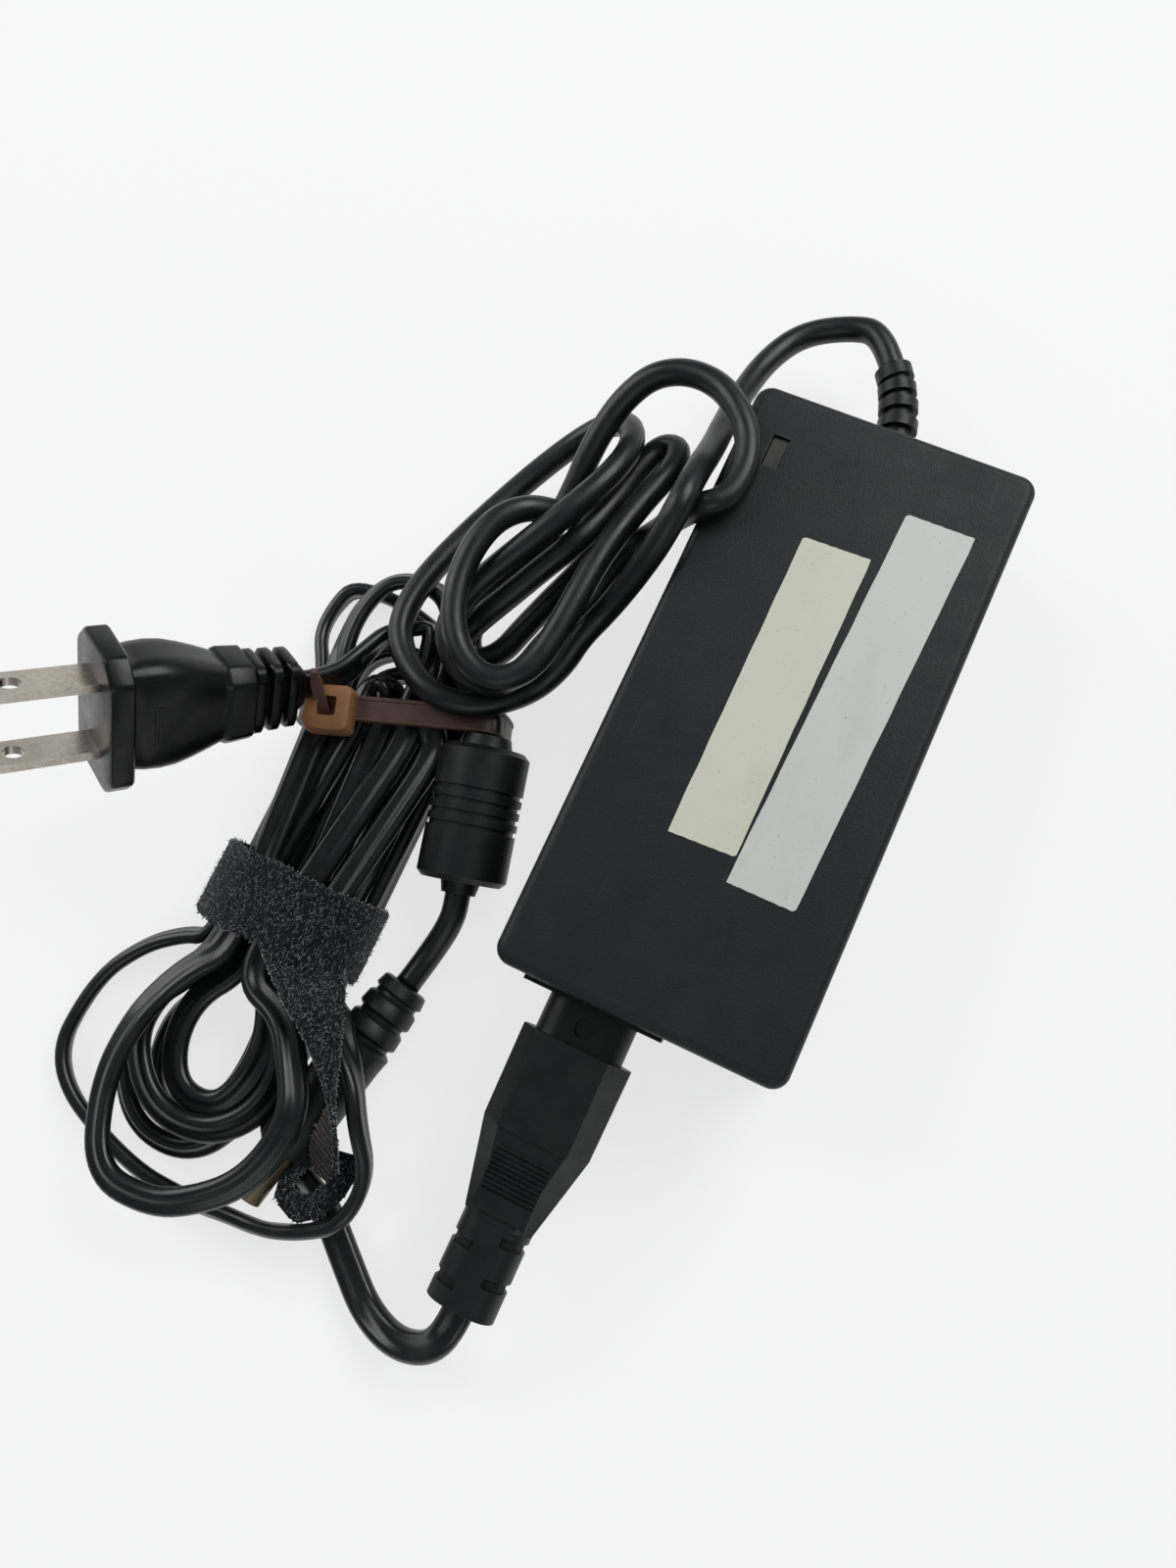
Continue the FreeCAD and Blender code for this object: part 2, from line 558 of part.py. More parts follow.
# Mains connector at the inlet, which slides out along -Y
shoulder = front + " + stand_off"
plug = body("mains_connector_body")


def facets(owner, name, lift, width, height, panel):
    """A hexagonal section with flat top and bottom panels and short upright flanks."""
    item = sketch(owner, name, "XZ_Plane", lift)
    flank = 1.6
    ring = [("inlet_x - (%s) / 2" % panel, "seam_height - (%s) / 2" % height),
            ("inlet_x + (%s) / 2" % panel, "seam_height - (%s) / 2" % height),
            ("inlet_x + (%s) / 2" % width, "seam_height - %s" % flank),
            ("inlet_x + (%s) / 2" % width, "seam_height + %s" % flank),
            ("inlet_x + (%s) / 2" % panel, "seam_height + (%s) / 2" % height),
            ("inlet_x - (%s) / 2" % panel, "seam_height + (%s) / 2" % height),
            ("inlet_x - (%s) / 2" % width, "seam_height + %s" % flank),
            ("inlet_x - (%s) / 2" % width, "seam_height - %s" % flank)]
    outline(item, ring)
    return item


sec_a = facets(plug, "grip_front", shoulder, "grip_width", "grip_high", "panel_width")
sec_b = facets(plug, "grip_back", shoulder + " + grip_length", "grip_width - 0.6", "grip_high",
               "panel_width - 0.4")
sec_c = facets(plug, "grip_waist", shoulder + " + grip_length + waist_length", "waist_width",
               "waist_high", "0.55 * waist_width")
loft(plug, "grip_loft", [sec_a, sec_b, sec_c])
s = sketch(plug, "nose_outline", "XZ_Plane", shoulder)
slot_outline(s, "inlet_x", "seam_height", "nose_width", "nose_high")
pad(plug, "nose_pad", s, "nose_length", True)
for name, face, out in (("panel_top", "seam_height + grip_high / 2 - 0.3", False),
                        ("panel_low", "seam_height - grip_high / 2 + 0.3", True)):
    s = sketch(plug, name, "XY_Plane", face)
    box_outline(s, "inlet_x", "-(%s + panel_length / 2)" % shoulder, "panel_width", "panel_length")
    pad(plug, name + "_pad", s, "panel_raise + 0.3", out)


def comb(side):
    """The side view of a ribbed thumb pad on the taper, from the shoulder's end: along, up."""
    fall = "(grip_high - waist_high) / 2 / waist_length"
    along = [("thumb_start - 1", "-1"), ("thumb_start", "thumb_raise")]
    for i in range(GRIP_RIBS):
        here = "thumb_start + %s * grip_rib_pitch" % i
        along += [(here + " + 0.3 * grip_rib_pitch", "thumb_raise"),
                  (here + " + 0.5 * grip_rib_pitch", "thumb_raise - grip_rib_deep"),
                  (here + " + 0.8 * grip_rib_pitch", "thumb_raise - grip_rib_deep"),
                  (here + " + grip_rib_pitch", "thumb_raise")]
    end = "thumb_start + %s * grip_rib_pitch + thumb_band" % GRIP_RIBS
    along += [(end, "thumb_raise"), (end + " + 0.6", "-1")]
    return [("-(%s + %s)" % (shoulder, x),
             "seam_height %s (grip_high / 2 - (%s - grip_length) * %s + %s)" % (side, x, fall, z))
            for x, z in along]


GRIP_RIBS = 9
s = sketch(plug, "thumb_pads", "YZ_Plane", "inlet_x - thumb_width / 2")
outline(s, comb("+") + comb("-")[::-1])
pad(plug, "thumb_pads_pad", s, "thumb_width")
s = sketch(plug, "nose_mark_outline", "XY_Plane", "seam_height + nose_high / 2")
circle(s, "inlet_x", "-(%s - stand_off / 2)" % shoulder, "nose_mark")
pocket(plug, "nose_mark_cut", s, "nose_mark_deep")
s = sketch(plug, "relief_outline", "XZ_Plane", shoulder + " + grip_length + waist_length")
slot_outline(s, "inlet_x", "seam_height", "relief_width", "relief_high")
pad(plug, "relief_pad", s, "relief_length")
relief_start = shoulder + " + grip_length + waist_length"
for i, (side, along) in enumerate(((1, 1.3), (-1, 3.8), (1, 8.0), (-1, 10.2))):
    lift = "%s + %s" % (relief_start, along)
    s = sketch(plug, "relief_slot_%d" % i, "XZ_Plane", lift + " + relief_slot")
    box_outline(s, "inlet_x + %d * (twin_thick / 2 + 0.6 + relief_width / 4)" % side, "seam_height",
                "relief_width / 2", "relief_high + 2")
    pocket(plug, "relief_cut_%d" % i, s, "relief_slot")
s = sketch(plug, "contact_holes", "XZ_Plane", shoulder + " - nose_length")
for side in ("-", "+"):
    circle(s, "inlet_x %s pin_spacing / 2" % side, "seam_height",
           "pin_diameter + 2 * pin_gap + 2 * contact_wall")
pocket(plug, "contact_hole_cut", s, "contact_length", True)
tubes = body("mains_connector_contacts")
s = sketch(tubes, "tube_rings", "XZ_Plane", shoulder + " - nose_length")
for side in ("-", "+"):
    circle(s, "inlet_x %s pin_spacing / 2" % side, "seam_height",
           "pin_diameter + 2 * pin_gap + 2 * contact_wall")
    circle(s, "inlet_x %s pin_spacing / 2" % side, "seam_height", "pin_diameter + 2 * pin_gap")
pad(tubes, "tube_pad", s, "contact_length")


# Leads: routes of arcs that meet tangentially, and sections swept along them
def arc_between(a, tangent, b):
    """A circular arc from a, leaving along the tangent, to b, or a line where that is straight."""
    chord = b - a
    length = chord.Length
    along = chord * (1.0 / length)
    off = tangent - along * tangent.dot(along)
    if off.Length < 1e-4:
        return Part.LineSegment(a, b).toShape()
    turn = math.atan2(off.Length, tangent.dot(along))
    off.normalize()
    middle = (a + b) * 0.5 + off * (length / 2 * math.tan(turn / 2))
    return Part.Arc(a, middle, b).toShape()


def two_arcs(a, ta, b, tb):
    """Two arcs of equal tangent length from a along ta to b along tb."""
    v = b - a
    t = ta + tb
    k = 2 * (1 - ta.dot(tb))
    if k < 1e-6:
        d = v.dot(v) / (4 * v.dot(tb))
    else:
        d = (-v.dot(t) + math.sqrt(v.dot(t) ** 2 + k * v.dot(v))) / k
    q1 = a + ta * d
    q2 = b - tb * d
    joint = (q1 + q2) * 0.5
    tj = Vector(q2 - q1)
    tj.normalize()
    return [arc_between(a, ta, joint), arc_between(joint, tj, b)]


def route_through(stations):
    """Edges through stations of (point, direction)."""
    result = []
    for (a, ta), (b, tb) in zip(stations, stations[1:]):
        result += two_arcs(a, ta, b, tb)
    return result


def tube_route(points):
    """Straight runs joined by tangent arcs, each as large as its two runs allow."""
    radii = []
    pieces = []
    last = points[0]
    for a, p, b in zip(points, points[1:], points[2:]):
        u = (p - a)
        w = (b - p)
        reach = 0.45 * min(u.Length, w.Length)
        u.normalize()
        w.normalize()
        turn = math.acos(max(-1, min(1, u.dot(w))))
        radius = reach / math.tan(turn / 2)
        radii.append(radius)
        start = p - u * reach
        end = p + w * reach
        pieces.append(Part.LineSegment(last, start).toShape())
        pieces.append(arc_between(start, u, end))
        last = end
    pieces.append(Part.LineSegment(last, points[-1]).toShape())
    return pieces, radii


def first_direction(edge):
    t = edge.tangentAt(edge.FirstParameter)
    return t


def ring_section(centre, along, diameter):
    return Part.Wire([Part.Circle(centre, along, diameter / 2).toShape()])


def twin_section(centre, along, width, thick):
    """A flat section with round ends, standing on edge."""
    side = Vector(0, 0, 1).cross(along)
    side.normalize()
    up = Vector(along).cross(side)
    up.normalize()
    r = thick / 2
    h = width / 2 - r
    a = centre + up * h + side * r
    b = centre + up * h - side * r
    c = centre - up * h - side * r
    d = centre - up * h + side * r
    return Part.Wire([Part.Arc(a, centre + up * (h + r), b).toShape(),
                      Part.LineSegment(b, c).toShape(),
                      Part.Arc(c, centre - up * (h + r), d).toShape(),
                      Part.LineSegment(d, a).toShape()])


def lead(name, pieces, kind):
    """One unbroken lead along its route."""
    wire = Part.Wire(pieces)
    first = pieces[0]
    start = first.valueAt(first.FirstParameter)
    along = first.tangentAt(first.FirstParameter)
    if kind == "twin":
        section = twin_section(start, along, values["twin_width"], values["twin_thick"])
        t = values["twin_thick"]
        area = math.pi * t * t / 4 + t * (values["twin_width"] - t)
    else:
        section = ring_section(start, along, values["lead_diameter"])
        area = math.pi * values["lead_diameter"] ** 2 / 4
    solid = wire.makePipeShell([section], True, False)
    item = doc.addObject("Part::Feature", name)
    item.Label = name
    item.Shape = solid
    item.Placement = Placement()
    print("%-22s length %7.1f  volume %8.1f  section x length %8.1f" %
          (name, wire.Length, solid.Volume, area * wire.Length))
    return item


def samples(pieces, step):
    """Points along a route with their distance from its start."""
    result = []
    run = 0.0
    for edge in pieces:
        count = max(2, int(edge.Length / step))
        for i in range(count):
            f = edge.FirstParameter + (edge.LastParameter - edge.FirstParameter) * i / count
            result.append((run + edge.Length * i / count, edge.valueAt(f)))
        run += edge.Length
    return result


def least_gap(name, pieces, kind, skip):
    """The least clear distance of a lead to itself, away from neighbours along the route."""
    found = samples(pieces, 1.5)
    rise = (values["twin_width"] - values["twin_thick"]) / 2 if kind == "twin" else 0
    wide = values["twin_thick"] if kind == "twin" else values["lead_diameter"]
    best = (1e9, None, None)
    for i in range(len(found)):
        si, p = found[i]
        for j in range(i + 1, len(found)):
            sj, q = found[j]
            if sj - si < skip:
                continue
            dz = abs(p.z - q.z)
            dz = max(0.0, dz - 2 * rise)
            d = math.sqrt((p.x - q.x) ** 2 + (p.y - q.y) ** 2 + dz * dz) - wide
            if d < best[0]:
                best = (d, p, q)
    print("%-22s least gap to itself %.2f at %s and %s" % (name, best[0], tuple(round(c, 1) for c in best[1]),
                                                         tuple(round(c, 1) for c in best[2])))
    return best[0]


def way(x, y, z):
    """A unit direction."""
    v = Vector(x, y, z)
    v.normalize()
    return v


NORTH, SOUTH, EAST, WEST = Vector(0, 1, 0), Vector(0, -1, 0), Vector(1, 0, 0), Vector(-1, 0, 0)

# Mains lead: seven turns on edge, four on the table and three on top of them.
# Each turn goes up the right of the waist, over the upper loop, down the left
# and round the lower loop.
middle = -66.1
low_z, high_z, top_z = 4.6, 10.6, 16.6
floor_z, second_z, third_z = 2.8, 9.0, 15.3
strap_y, tie_y = -71.0, -28.0
#  right slot, height at strap, height at tie
RIGHT = [(12.8, low_z, low_z), (9.6, high_z, low_z), (6.4, low_z, low_z), (3.1, low_z, low_z),
         (0.0, high_z, high_z), (6.4, high_z, high_z), (3.2, top_z, high_z)]
#  left slot at tie, slot at strap, height at tie, height at strap
LEFT = [(-12.7, -12.7, low_z, low_z), (-9.5, -9.5, low_z, low_z), (-6.3, -6.3, low_z, low_z),
        (-3.0, -3.3, low_z, high_z), (-6.5, -6.5, high_z, high_z), (-9.8, -9.6, high_z, top_z)]
#  upper loops: stations between the right slot and the left slot
UPPER = [
    [((-53.3, -19, 4.4), NORTH), ((-83.5, -0.5, floor_z), WEST), ((-88.6, -9.5, floor_z), SOUTH),
     ((-83.2, -21, 3.8), way(0.45, -0.9, 0.05))],
    [((-56.5, -20, 4.4), NORTH), ((-68.3, -9.2, 3.4), WEST), ((-77.4, -17.5, 3.4), SOUTH)],
    [((-59.7, -20, 4.4), NORTH), ((-66.3, -13.4, 4.0), WEST), ((-72.8, -20, 4.3), SOUTH)],
    [((-63.0, -21, 4.4), NORTH), ((-66.0, -18.0, 4.3), WEST), ((-69.1, -21, 4.4), SOUTH)],
    [((-66.1, -21, 10.7), NORTH), ((-69.4, -17.8, 10.7), WEST), ((-72.6, -21, 10.7), SOUTH)],
    [((-59.7, -18, 10.6), NORTH), ((-72.2, 3.0, 9.4), WEST), ((-80.2, -8.5, 9.6), SOUTH)],
]
#  lower loops: stations between the left slot and the next right slot
LOWER = [
    [((-86.2, -77, 3.4), way(-0.78, -0.62, 0)), ((-96.5, -96, floor_z), SOUTH), ((-62, -116.6, floor_z), EAST),
     ((-50.4, -115.9, 3.6), way(0.97, 0.13, 0.2)), ((-41.6, -112.7, 8.2), way(0.8, 0.45, 0.38)),
     ((-33.8, -100, 12.6), NORTH),
     ((-39.5, -86, 15.8), way(-0.45, 0.87, 0.12)), ((-46, -77.2, 14.9), way(-0.66, 0.62, -0.35))],
    [((-78.6, -78.5, 3.6), way(-0.45, -0.9, -0.03)), ((-85.6, -92, floor_z), SOUTH), ((-70, -110, floor_z), EAST),
     ((-58.0, -94, floor_z), NORTH)],
    [((-74.6, -80, 3.6), way(-0.3, -0.95, -0.03)), ((-79.2, -92, floor_z), SOUTH), ((-70, -104.4, floor_z), EAST),
     ((-61.8, -90, floor_z), NORTH)],
    [((-74.4, -88, second_z), SOUTH), ((-65.4, -99.5, second_z), EAST), ((-58.4, -89, 9.4), NORTH)],
    [((-76.8, -79, 9.8), way(-0.42, -0.9, -0.03)), ((-81.3, -89, second_z), SOUTH), ((-66.5, -104, second_z), EAST),
     ((-53.6, -91, 9.4), NORTH)],
    [((-83.8, -92, third_z), SOUTH), ((-66, -115.8, 15.8), EAST), ((-52, -109.0, 16.4), way(0.72, 0.69, 0.0)),
     ((-46.4, -95, 16.6), NORTH), ((-50.5, -83, 17.2), way(-0.5, 0.86, 0.0))],
]
TAIL_END = Vector(-34.6, -109.0, 2.8)
TAIL_LAST = Vector(-28.9, -113.8, 2.9)
TAIL_WAY = way(*(TAIL_END - TAIL_LAST))
stations = [(TAIL_END, TAIL_WAY), (Vector(-43.4, -104.6, 2.8), way(-0.9, 0.44, 0)),
            (Vector(-50.8, -100.4, 2.8), way(-0.72, 0.69, 0)), (Vector(-54.2, -89, 2.9), NORTH)]
for turn in range(7):
    slot, z_strap, z_tie = RIGHT[turn]
    rise = way(0, tie_y - strap_y, z_tie - z_strap)
    stations.append((Vector(middle + slot, strap_y, z_strap), rise))
    stations.append((Vector(middle + slot, tie_y, z_tie), rise))
    if turn == 6:
        break
    for spot, direction in UPPER[turn]:
        stations.append((Vector(*spot), direction))
    at_tie, at_strap, z_tie, z_strap = LEFT[turn]
    fall = way(at_strap - at_tie, strap_y - tie_y, z_strap - z_tie)
    stations.append((Vector(middle + at_tie, tie_y, z_tie), fall))
    stations.append((Vector(middle + at_strap, strap_y, z_strap), fall))
    for spot, direction in LOWER[turn]:
        stations.append((Vector(*spot), direction))
hank_end = Vector(-69.3, -6.3, 10.2)
hank_turn = Vector(-73.0, -8.6, 10.6)
stations += [(Vector(-62.9, -18.5, 10.6), NORTH), (hank_end, way(*(hank_turn - hank_end)))]
mains_route = route_through(stations)
lead("mains_cord_hank", mains_route, "twin")
least_gap("mains_cord_hank", mains_route, "twin", 12.0)

# Free end of the mains lead at the connector
relief_end = number(relief_start + " + relief_length")
tail_points = [Vector(values["inlet_x"], -relief_end, values["seam_height"]),
               Vector(values["inlet_x"], -relief_end - 4.6, values["seam_height"]),
               Vector(-10.0, -relief_end - 9.6, 11.4), Vector(-15.8, -relief_end - 12.4, 7.2),
               Vector(-22.8, -relief_end - 11.2, 4.0), TAIL_LAST, TAIL_END]
pieces, radii = tube_route(tail_points)
print("mains_cord_tail radii", [round(r, 1) for r in radii])
lead("mains_cord_tail", pieces, "twin")

# Mains plug, lying back on the hank with its blades in the air
plug_face = Vector(-97.5, -46.2, 42.9)
plug_way = way(-0.534, -0.578, 0.617)
plug_row = Vector(-0.001, 0.730, 0.683)
mains_frame = frame_at(plug_face, plug_way, plug_row)
plug_tail = plug_face - plug_way * 35.0
to_plug = [hank_end, hank_turn, Vector(-74.2, -14.6, 12.9),
           plug_tail - plug_way * 7.2, plug_tail]
pieces, radii = tube_route(to_plug)
print("mains_cord_to_plug radii", [round(r, 1) for r in radii])
lead("mains_cord_to_plug", pieces, "twin")


def plug_section(owner, name, lift, width, height, cut):
    """A section of the plug with its corners cut off."""
    item = sketch(owner, name, "YZ_Plane", lift)
    outline(item, [("(%s) / 2 - %s" % (width, cut), "-(%s) / 2" % height),
                   ("(%s) / 2" % width, "-(%s) / 2 + %s" % (height, cut)),
                   ("(%s) / 2" % width, "(%s) / 2 - %s" % (height, cut)),
                   ("(%s) / 2 - %s" % (width, cut), "(%s) / 2" % height),
                   ("-(%s) / 2 + %s" % (width, cut), "(%s) / 2" % height),
                   ("-(%s) / 2" % width, "(%s) / 2 - %s" % (height, cut)),
                   ("-(%s) / 2" % width, "-(%s) / 2 + %s" % (height, cut)),
                   ("-(%s) / 2 + %s" % (width, cut), "-(%s) / 2" % height)])
    return item


mains = body("mains_plug_body")
s1 = plug_section(mains, "plug_a", "-face_thick", "face_width", "face_high", "3.4")
s2 = plug_section(mains, "plug_b", "-1", "face_width", "face_high", "3.4")
s3 = plug_section(mains, "plug_c", "0", "face_width - 1.6", "face_high - 1.6", "3.2")
loft(mains, "plug_flange", [s1, s2, s3])
s4 = plug_section(mains, "plug_d", "-face_thick", "face_width - 4", "face_high - 3.4", "2.6")
s4b = plug_section(mains, "plug_d2", "-face_thick - 3", "face_width - 3.3", "face_high - 2.7", "2.8")
s5 = plug_section(mains, "plug_e", "-face_thick - 7", "face_width - 3.4", "face_high - 2.6", "2.9")
s5b = plug_section(mains, "plug_e2", "-face_thick - 11", "face_width - 5", "face_high - 3.1", "2.8")
s6 = plug_section(mains, "plug_f", "-face_thick - 14", "face_width - 7", "face_high - 4", "2.6")
s7 = plug_section(mains, "plug_g", "-face_thick - 18.5", "face_width - 10.5", "face_high - 5", "2.4")
loft(mains, "plug_bulge", [s4, s4b, s5, s5b, s6, s7])
s8 = plug_section(mains, "plug_h", "-face_thick - 18.5", "face_width - 9.5", "face_high - 4.2", "3")
s9 = plug_section(mains, "plug_i", "-face_thick - 22.0", "face_width - 10.5", "face_high - 4.8", "3")
loft(mains, "plug_collar", [s8, s9])
s = sketch(mains, "plug_core", "YZ_Plane", "-35")
slot_outline(s, "0", "0", "8.6", "6.6")
pad(mains, "plug_core_pad", s, "11")
for i in range(3):
    s = sketch(mains, "plug_rib_%d" % i, "YZ_Plane", str(-28.6 - 3.2 * i))
    slot_outline(s, "0", "0", str(11.4 - 0.8 * i), str(9.0 - 0.6 * i))
    pad(mains, "plug_rib_pad_%d" % i, s, "1.9")
s = sketch(mains, "blade_slots", "YZ_Plane", "0")
for side in ("-", ""):
    box_outline(s, side + "blade_spacing / 2", "0", "blade_thick", "blade_width")
pocket(mains, "blade_slot_cut", s, "blade_root")
mains.Placement = mains_frame
blades = body("mains_plug_blades")
s = sketch(blades, "blade_outline", "YZ_Plane", "-blade_root")
for side in ("-", ""):
    box_outline(s, side + "blade_spacing / 2", "0", "blade_thick", "blade_width")
block = pad(blades, "blade_pad", s, "blade_root + blade_length")
tips = edges(block, lambda m, e: near(m.x, values["blade_length"]) and abs(abs(m.z) - values["blade_width"] / 2) < 1e-3)
block = fillet(blades, "blade_tips", block, tips, "blade_thick / 2.2") if tips else block
s = sketch(blades, "blade_holes", "XZ_Plane", "blade_spacing")
circle(s, "blade_hole_at", "0", "blade_hole")
pocket(blades, "blade_hole_cut", s, "2 * blade_spacing")
blades.Placement = mains_frame

# Strain relief of the low-voltage lead: rings on a core that bends with the lead
wall_face = values["case_length"] / 2
gland_end = Vector(-6.2, wall_face + values["gland_reach"], values["seam_height"])
gland_way = way(-0.57, 0.82, 0)
gland_path = route_through([(Vector(0, wall_face, values["seam_height"]), NORTH), (gland_end, gland_way)])
gland_wire = Part.Wire(gland_path)
shape = gland_wire.makePipeShell([ring_section(Vector(0, wall_face, values["seam_height"]), NORTH,
                                               values["gland_core"])], True, False)


def along_path(pieces, distance):
    run = distance
    for edge in pieces:
        if run <= edge.Length + 1e-9:
            f = edge.getParameterByLength(run)
            return edge.valueAt(f), edge.tangentAt(f)
        run -= edge.Length
    edge = pieces[-1]
    return edge.valueAt(edge.LastParameter), edge.tangentAt(edge.LastParameter)


gland_run = gland_wire.Length
rings = [(0.0, 2.6, 8.4), (4.2, 2.0, 7.6), (8.0, 2.0, 7.4), (11.8, 2.0, 7.2), (15.2, 2.0, 7.0),
         (gland_run - 2.4, 2.4, 6.8)]
for start, thick, size_over in rings:
    p, t = along_path(gland_path, start)
    if start + thick > gland_run - 0.01:
        p, t = gland_end - gland_way * thick, gland_way
    ring = Part.makeCylinder(size_over / 2, thick, p, t)
    shape = shape.fuse(ring)
seat = Part.makeCylinder(values["gland_neck"] / 2, values["case_wall"] + 0.01,
                         Vector(0, wall_face - values["case_wall"], values["seam_height"]), NORTH)
stop = Part.makeCylinder(values["gland_neck"] / 2 + 1.4, 2.0,
                         Vector(0, wall_face - values["case_wall"] - 2.0, values["seam_height"]), NORTH)
shape = shape.fuse(seat).fuse(stop).removeSplitter()
gland = doc.addObject("Part::Feature", "dc_strain_relief")
gland.Label = "dc_strain_relief"
gland.Shape = shape
gland.Placement = Placement()

# Low-voltage lead: free stretch, hank, ferrite, plug
hank_start = Vector(-39.4, 13.4, 17.4)
hank_way = way(*(hank_start - Vector(-35.6, 20.2, 18.0)))
free_points = [gland_end, gland_end + gland_way * 8.0, Vector(-18.4, 85.2, 12.2), Vector(-27.6, 82.8, 9.2),
               Vector(-32.9, 74.6, 6.8), Vector(-34.7, 62.4, 6.4), Vector(-32.6, 50.4, 9.0),
               Vector(-31.3, 38.6, 14.6), Vector(-32.3, 28.6, 17.7), Vector(-35.6, 20.2, 18.0), hank_start]
pieces, radii = tube_route(free_points)
print("dc_cord_free radii", [round(r, 1) for r in radii])
lead("dc_cord_free", pieces, "round")

C0 = Vector(-55, -1, 0)
AX = Vector(0.25, 0.968, 0)
AX.normalize()
CX = Vector(AX.y, -AX.x, 0)


def spot(u, v, z):
    p = C0 + AX * u + CX * v
    return Vector(p.x, p.y, z)


def heading(u, v, z=0):
    d = AX * u + CX * v + Vector(0, 0, z)
    d.normalize()
    return d


#  right side, lower arc, left side of each turn: u, v, z
TURNS = [((1.0, 15.6, 17.8), (-16.8, -1.0, 17.6), (-4.0, -16.4, 16.4)),
         ((2.0, 10.4, 17.6), (-11.3, 1.0, 18.0), (-3.0, -11.2, 17.6)),
         ((0.0, 12.6, 22.8), (-8.0, 4.0, 22.9), (8.0, -9.9, 22.4))]
#  upper ends of the turns
ENDS = [
    [(spot(15, -12.0, 13.9), heading(1, 0.22, -0.06)), (spot(31, -6.2, 12.4), heading(1, -0.06, 0.1)),
     (spot(43, -8.9, 17.0), heading(1, -0.02, 0.4)), (Vector(-45.2, 52.0, 25.5), way(0.9, 0.25, 0.36)),
     (Vector(-32.5, 51.0, 31.2), way(0.95, -0.25, 0.16)), (Vector(-23.6, 41.0, 32.4), SOUTH),
     (Vector(-26.5, 34.0, 31.0), way(-0.62, -0.42, -0.66)), (Vector(-27.6, 31.8, 24.0), way(-0.02, -0.2, -0.98)),
     (Vector(-27.8, 30.0, 16.0), way(-0.06, -0.24, -0.96)), (Vector(-32.0, 27.2, 10.8), way(-0.8, -0.55, -0.15)),
     (spot(22, 7.4, 11.8), heading(-1, -0.1, 0.12)), (spot(11, 7.0, 14.6), heading(-1, 0.1, 0.25))],
    [(spot(15, -5.6, 15.2), heading(1, 0.25, -0.1)), (spot(27, -0.8, 13.4), heading(1, 0.1, -0.05)),
     (spot(38, -0.9, 12.4), heading(1, 0, 0)),
     (spot(47.4, 4.3, 11.6), heading(0, 1, 0)), (spot(38.5, 9.6, 13.4), heading(-1, 0, 0.25)),
     (spot(22, 9.8, 22.6), heading(-1, 0, 0.2))],
    [(spot(22, -7.4, 19.4), heading(1, -0.14, -0.45)), (spot(34, -11.6, 12.8), heading(1, 0, -0.4)),
     (spot(43, -11.2, 8.2), heading(1, 0.05, -0.2)), (spot(51.4, -5.6, 7.0), heading(0, 1, 0)),
     (spot(43, -0.2, 6.6), heading(-1, 0, 0)), (spot(22, 4.0, 6.8), heading(-1, 0.1, 0)),
     (spot(2, 9.4, 8.2), heading(-1, 0.3, 0.1))],
]
stations = [(hank_start, hank_way)]
for turn in range(3):
    right, lower, left = TURNS[turn]
    stations.append((spot(*right), heading(-1, 0)))
    stations.append((spot(*lower), heading(0, -1)))
    stations.append((spot(*left), heading(1, 0)))
    stations += ENDS[turn]
core_top = Vector(-45.3, -21.9, 11.3)
core_low = Vector(-39.6, -45.6, 8.6)
core_way = core_low - core_top
core_way.normalize()
core_in = core_top - core_way * (values["core_cone"] + 0.4)
core_out = core_in + core_way * (values["core_length"] + 2 * values["core_cone"])
stations += [(Vector(-46.6, -12.0, 9.6), way(-0.1, -0.98, 0.12)), (core_in, core_way)]
dc_route = route_through(stations)
lead("dc_cord_hank", dc_route, "round")
least_gap("dc_cord_hank", dc_route, "round", 14.0)

# Ferrite core in its moulding
moulding = body("ferrite_moulding")
s = sketch(moulding, "moulding_profile", "XY_Plane")
edge_line = [("0", "0"), ("0", "core_collar / 2 - 0.6"), ("core_cone", "core_collar / 2"),
             ("core_cone", "core_diameter / 2 - 1"), ("core_cone + 1", "core_diameter / 2")]
for i in (-1.5, -0.5, 0.5, 1.5):
    at_groove = "core_cone + groove_middle + %s * groove_pitch" % i
    edge_line += [(at_groove + " - groove_width / 2", "core_diameter / 2"),
                  (at_groove + " - groove_width / 2", "core_diameter / 2 - core_groove"),
                  (at_groove + " + groove_width / 2", "core_diameter / 2 - core_groove"),
                  (at_groove + " + groove_width / 2", "core_diameter / 2")]
edge_line += [("core_cone + core_length - 1", "core_diameter / 2"),
              ("core_cone + core_length", "core_diameter / 2 - 1"),
              ("core_cone + core_length", "core_tail / 2"),
              ("2 * core_cone + core_length", "core_tail / 2 - 0.5"),
              ("2 * core_cone + core_length", "0")]
outline(s, edge_line)
revolve(moulding, "moulding_turned", s, "H_Axis")
s = sketch(moulding, "ferrite_room", "XY_Plane")
outline(s, [("core_cone + (core_length - ferrite_length) / 2", "ferrite_bore / 2"),
            ("core_cone + (core_length - ferrite_length) / 2", "ferrite_outer / 2"),
            ("core_cone + (core_length + ferrite_length) / 2", "ferrite_outer / 2"),
            ("core_cone + (core_length + ferrite_length) / 2", "ferrite_bore / 2")])
groove = moulding.newObject("PartDesign::Groove", "ferrite_cut")
groove.Profile = s
groove.ReferenceAxis = (s, ["H_Axis"])
groove.Angle = 360
doc.recompute()
moulding.Placement = frame_at(core_in, core_way, Vector(0, 0, 1).cross(core_way))
ferrite = body("ferrite_core")
s = sketch(ferrite, "ferrite_profile", "XY_Plane")
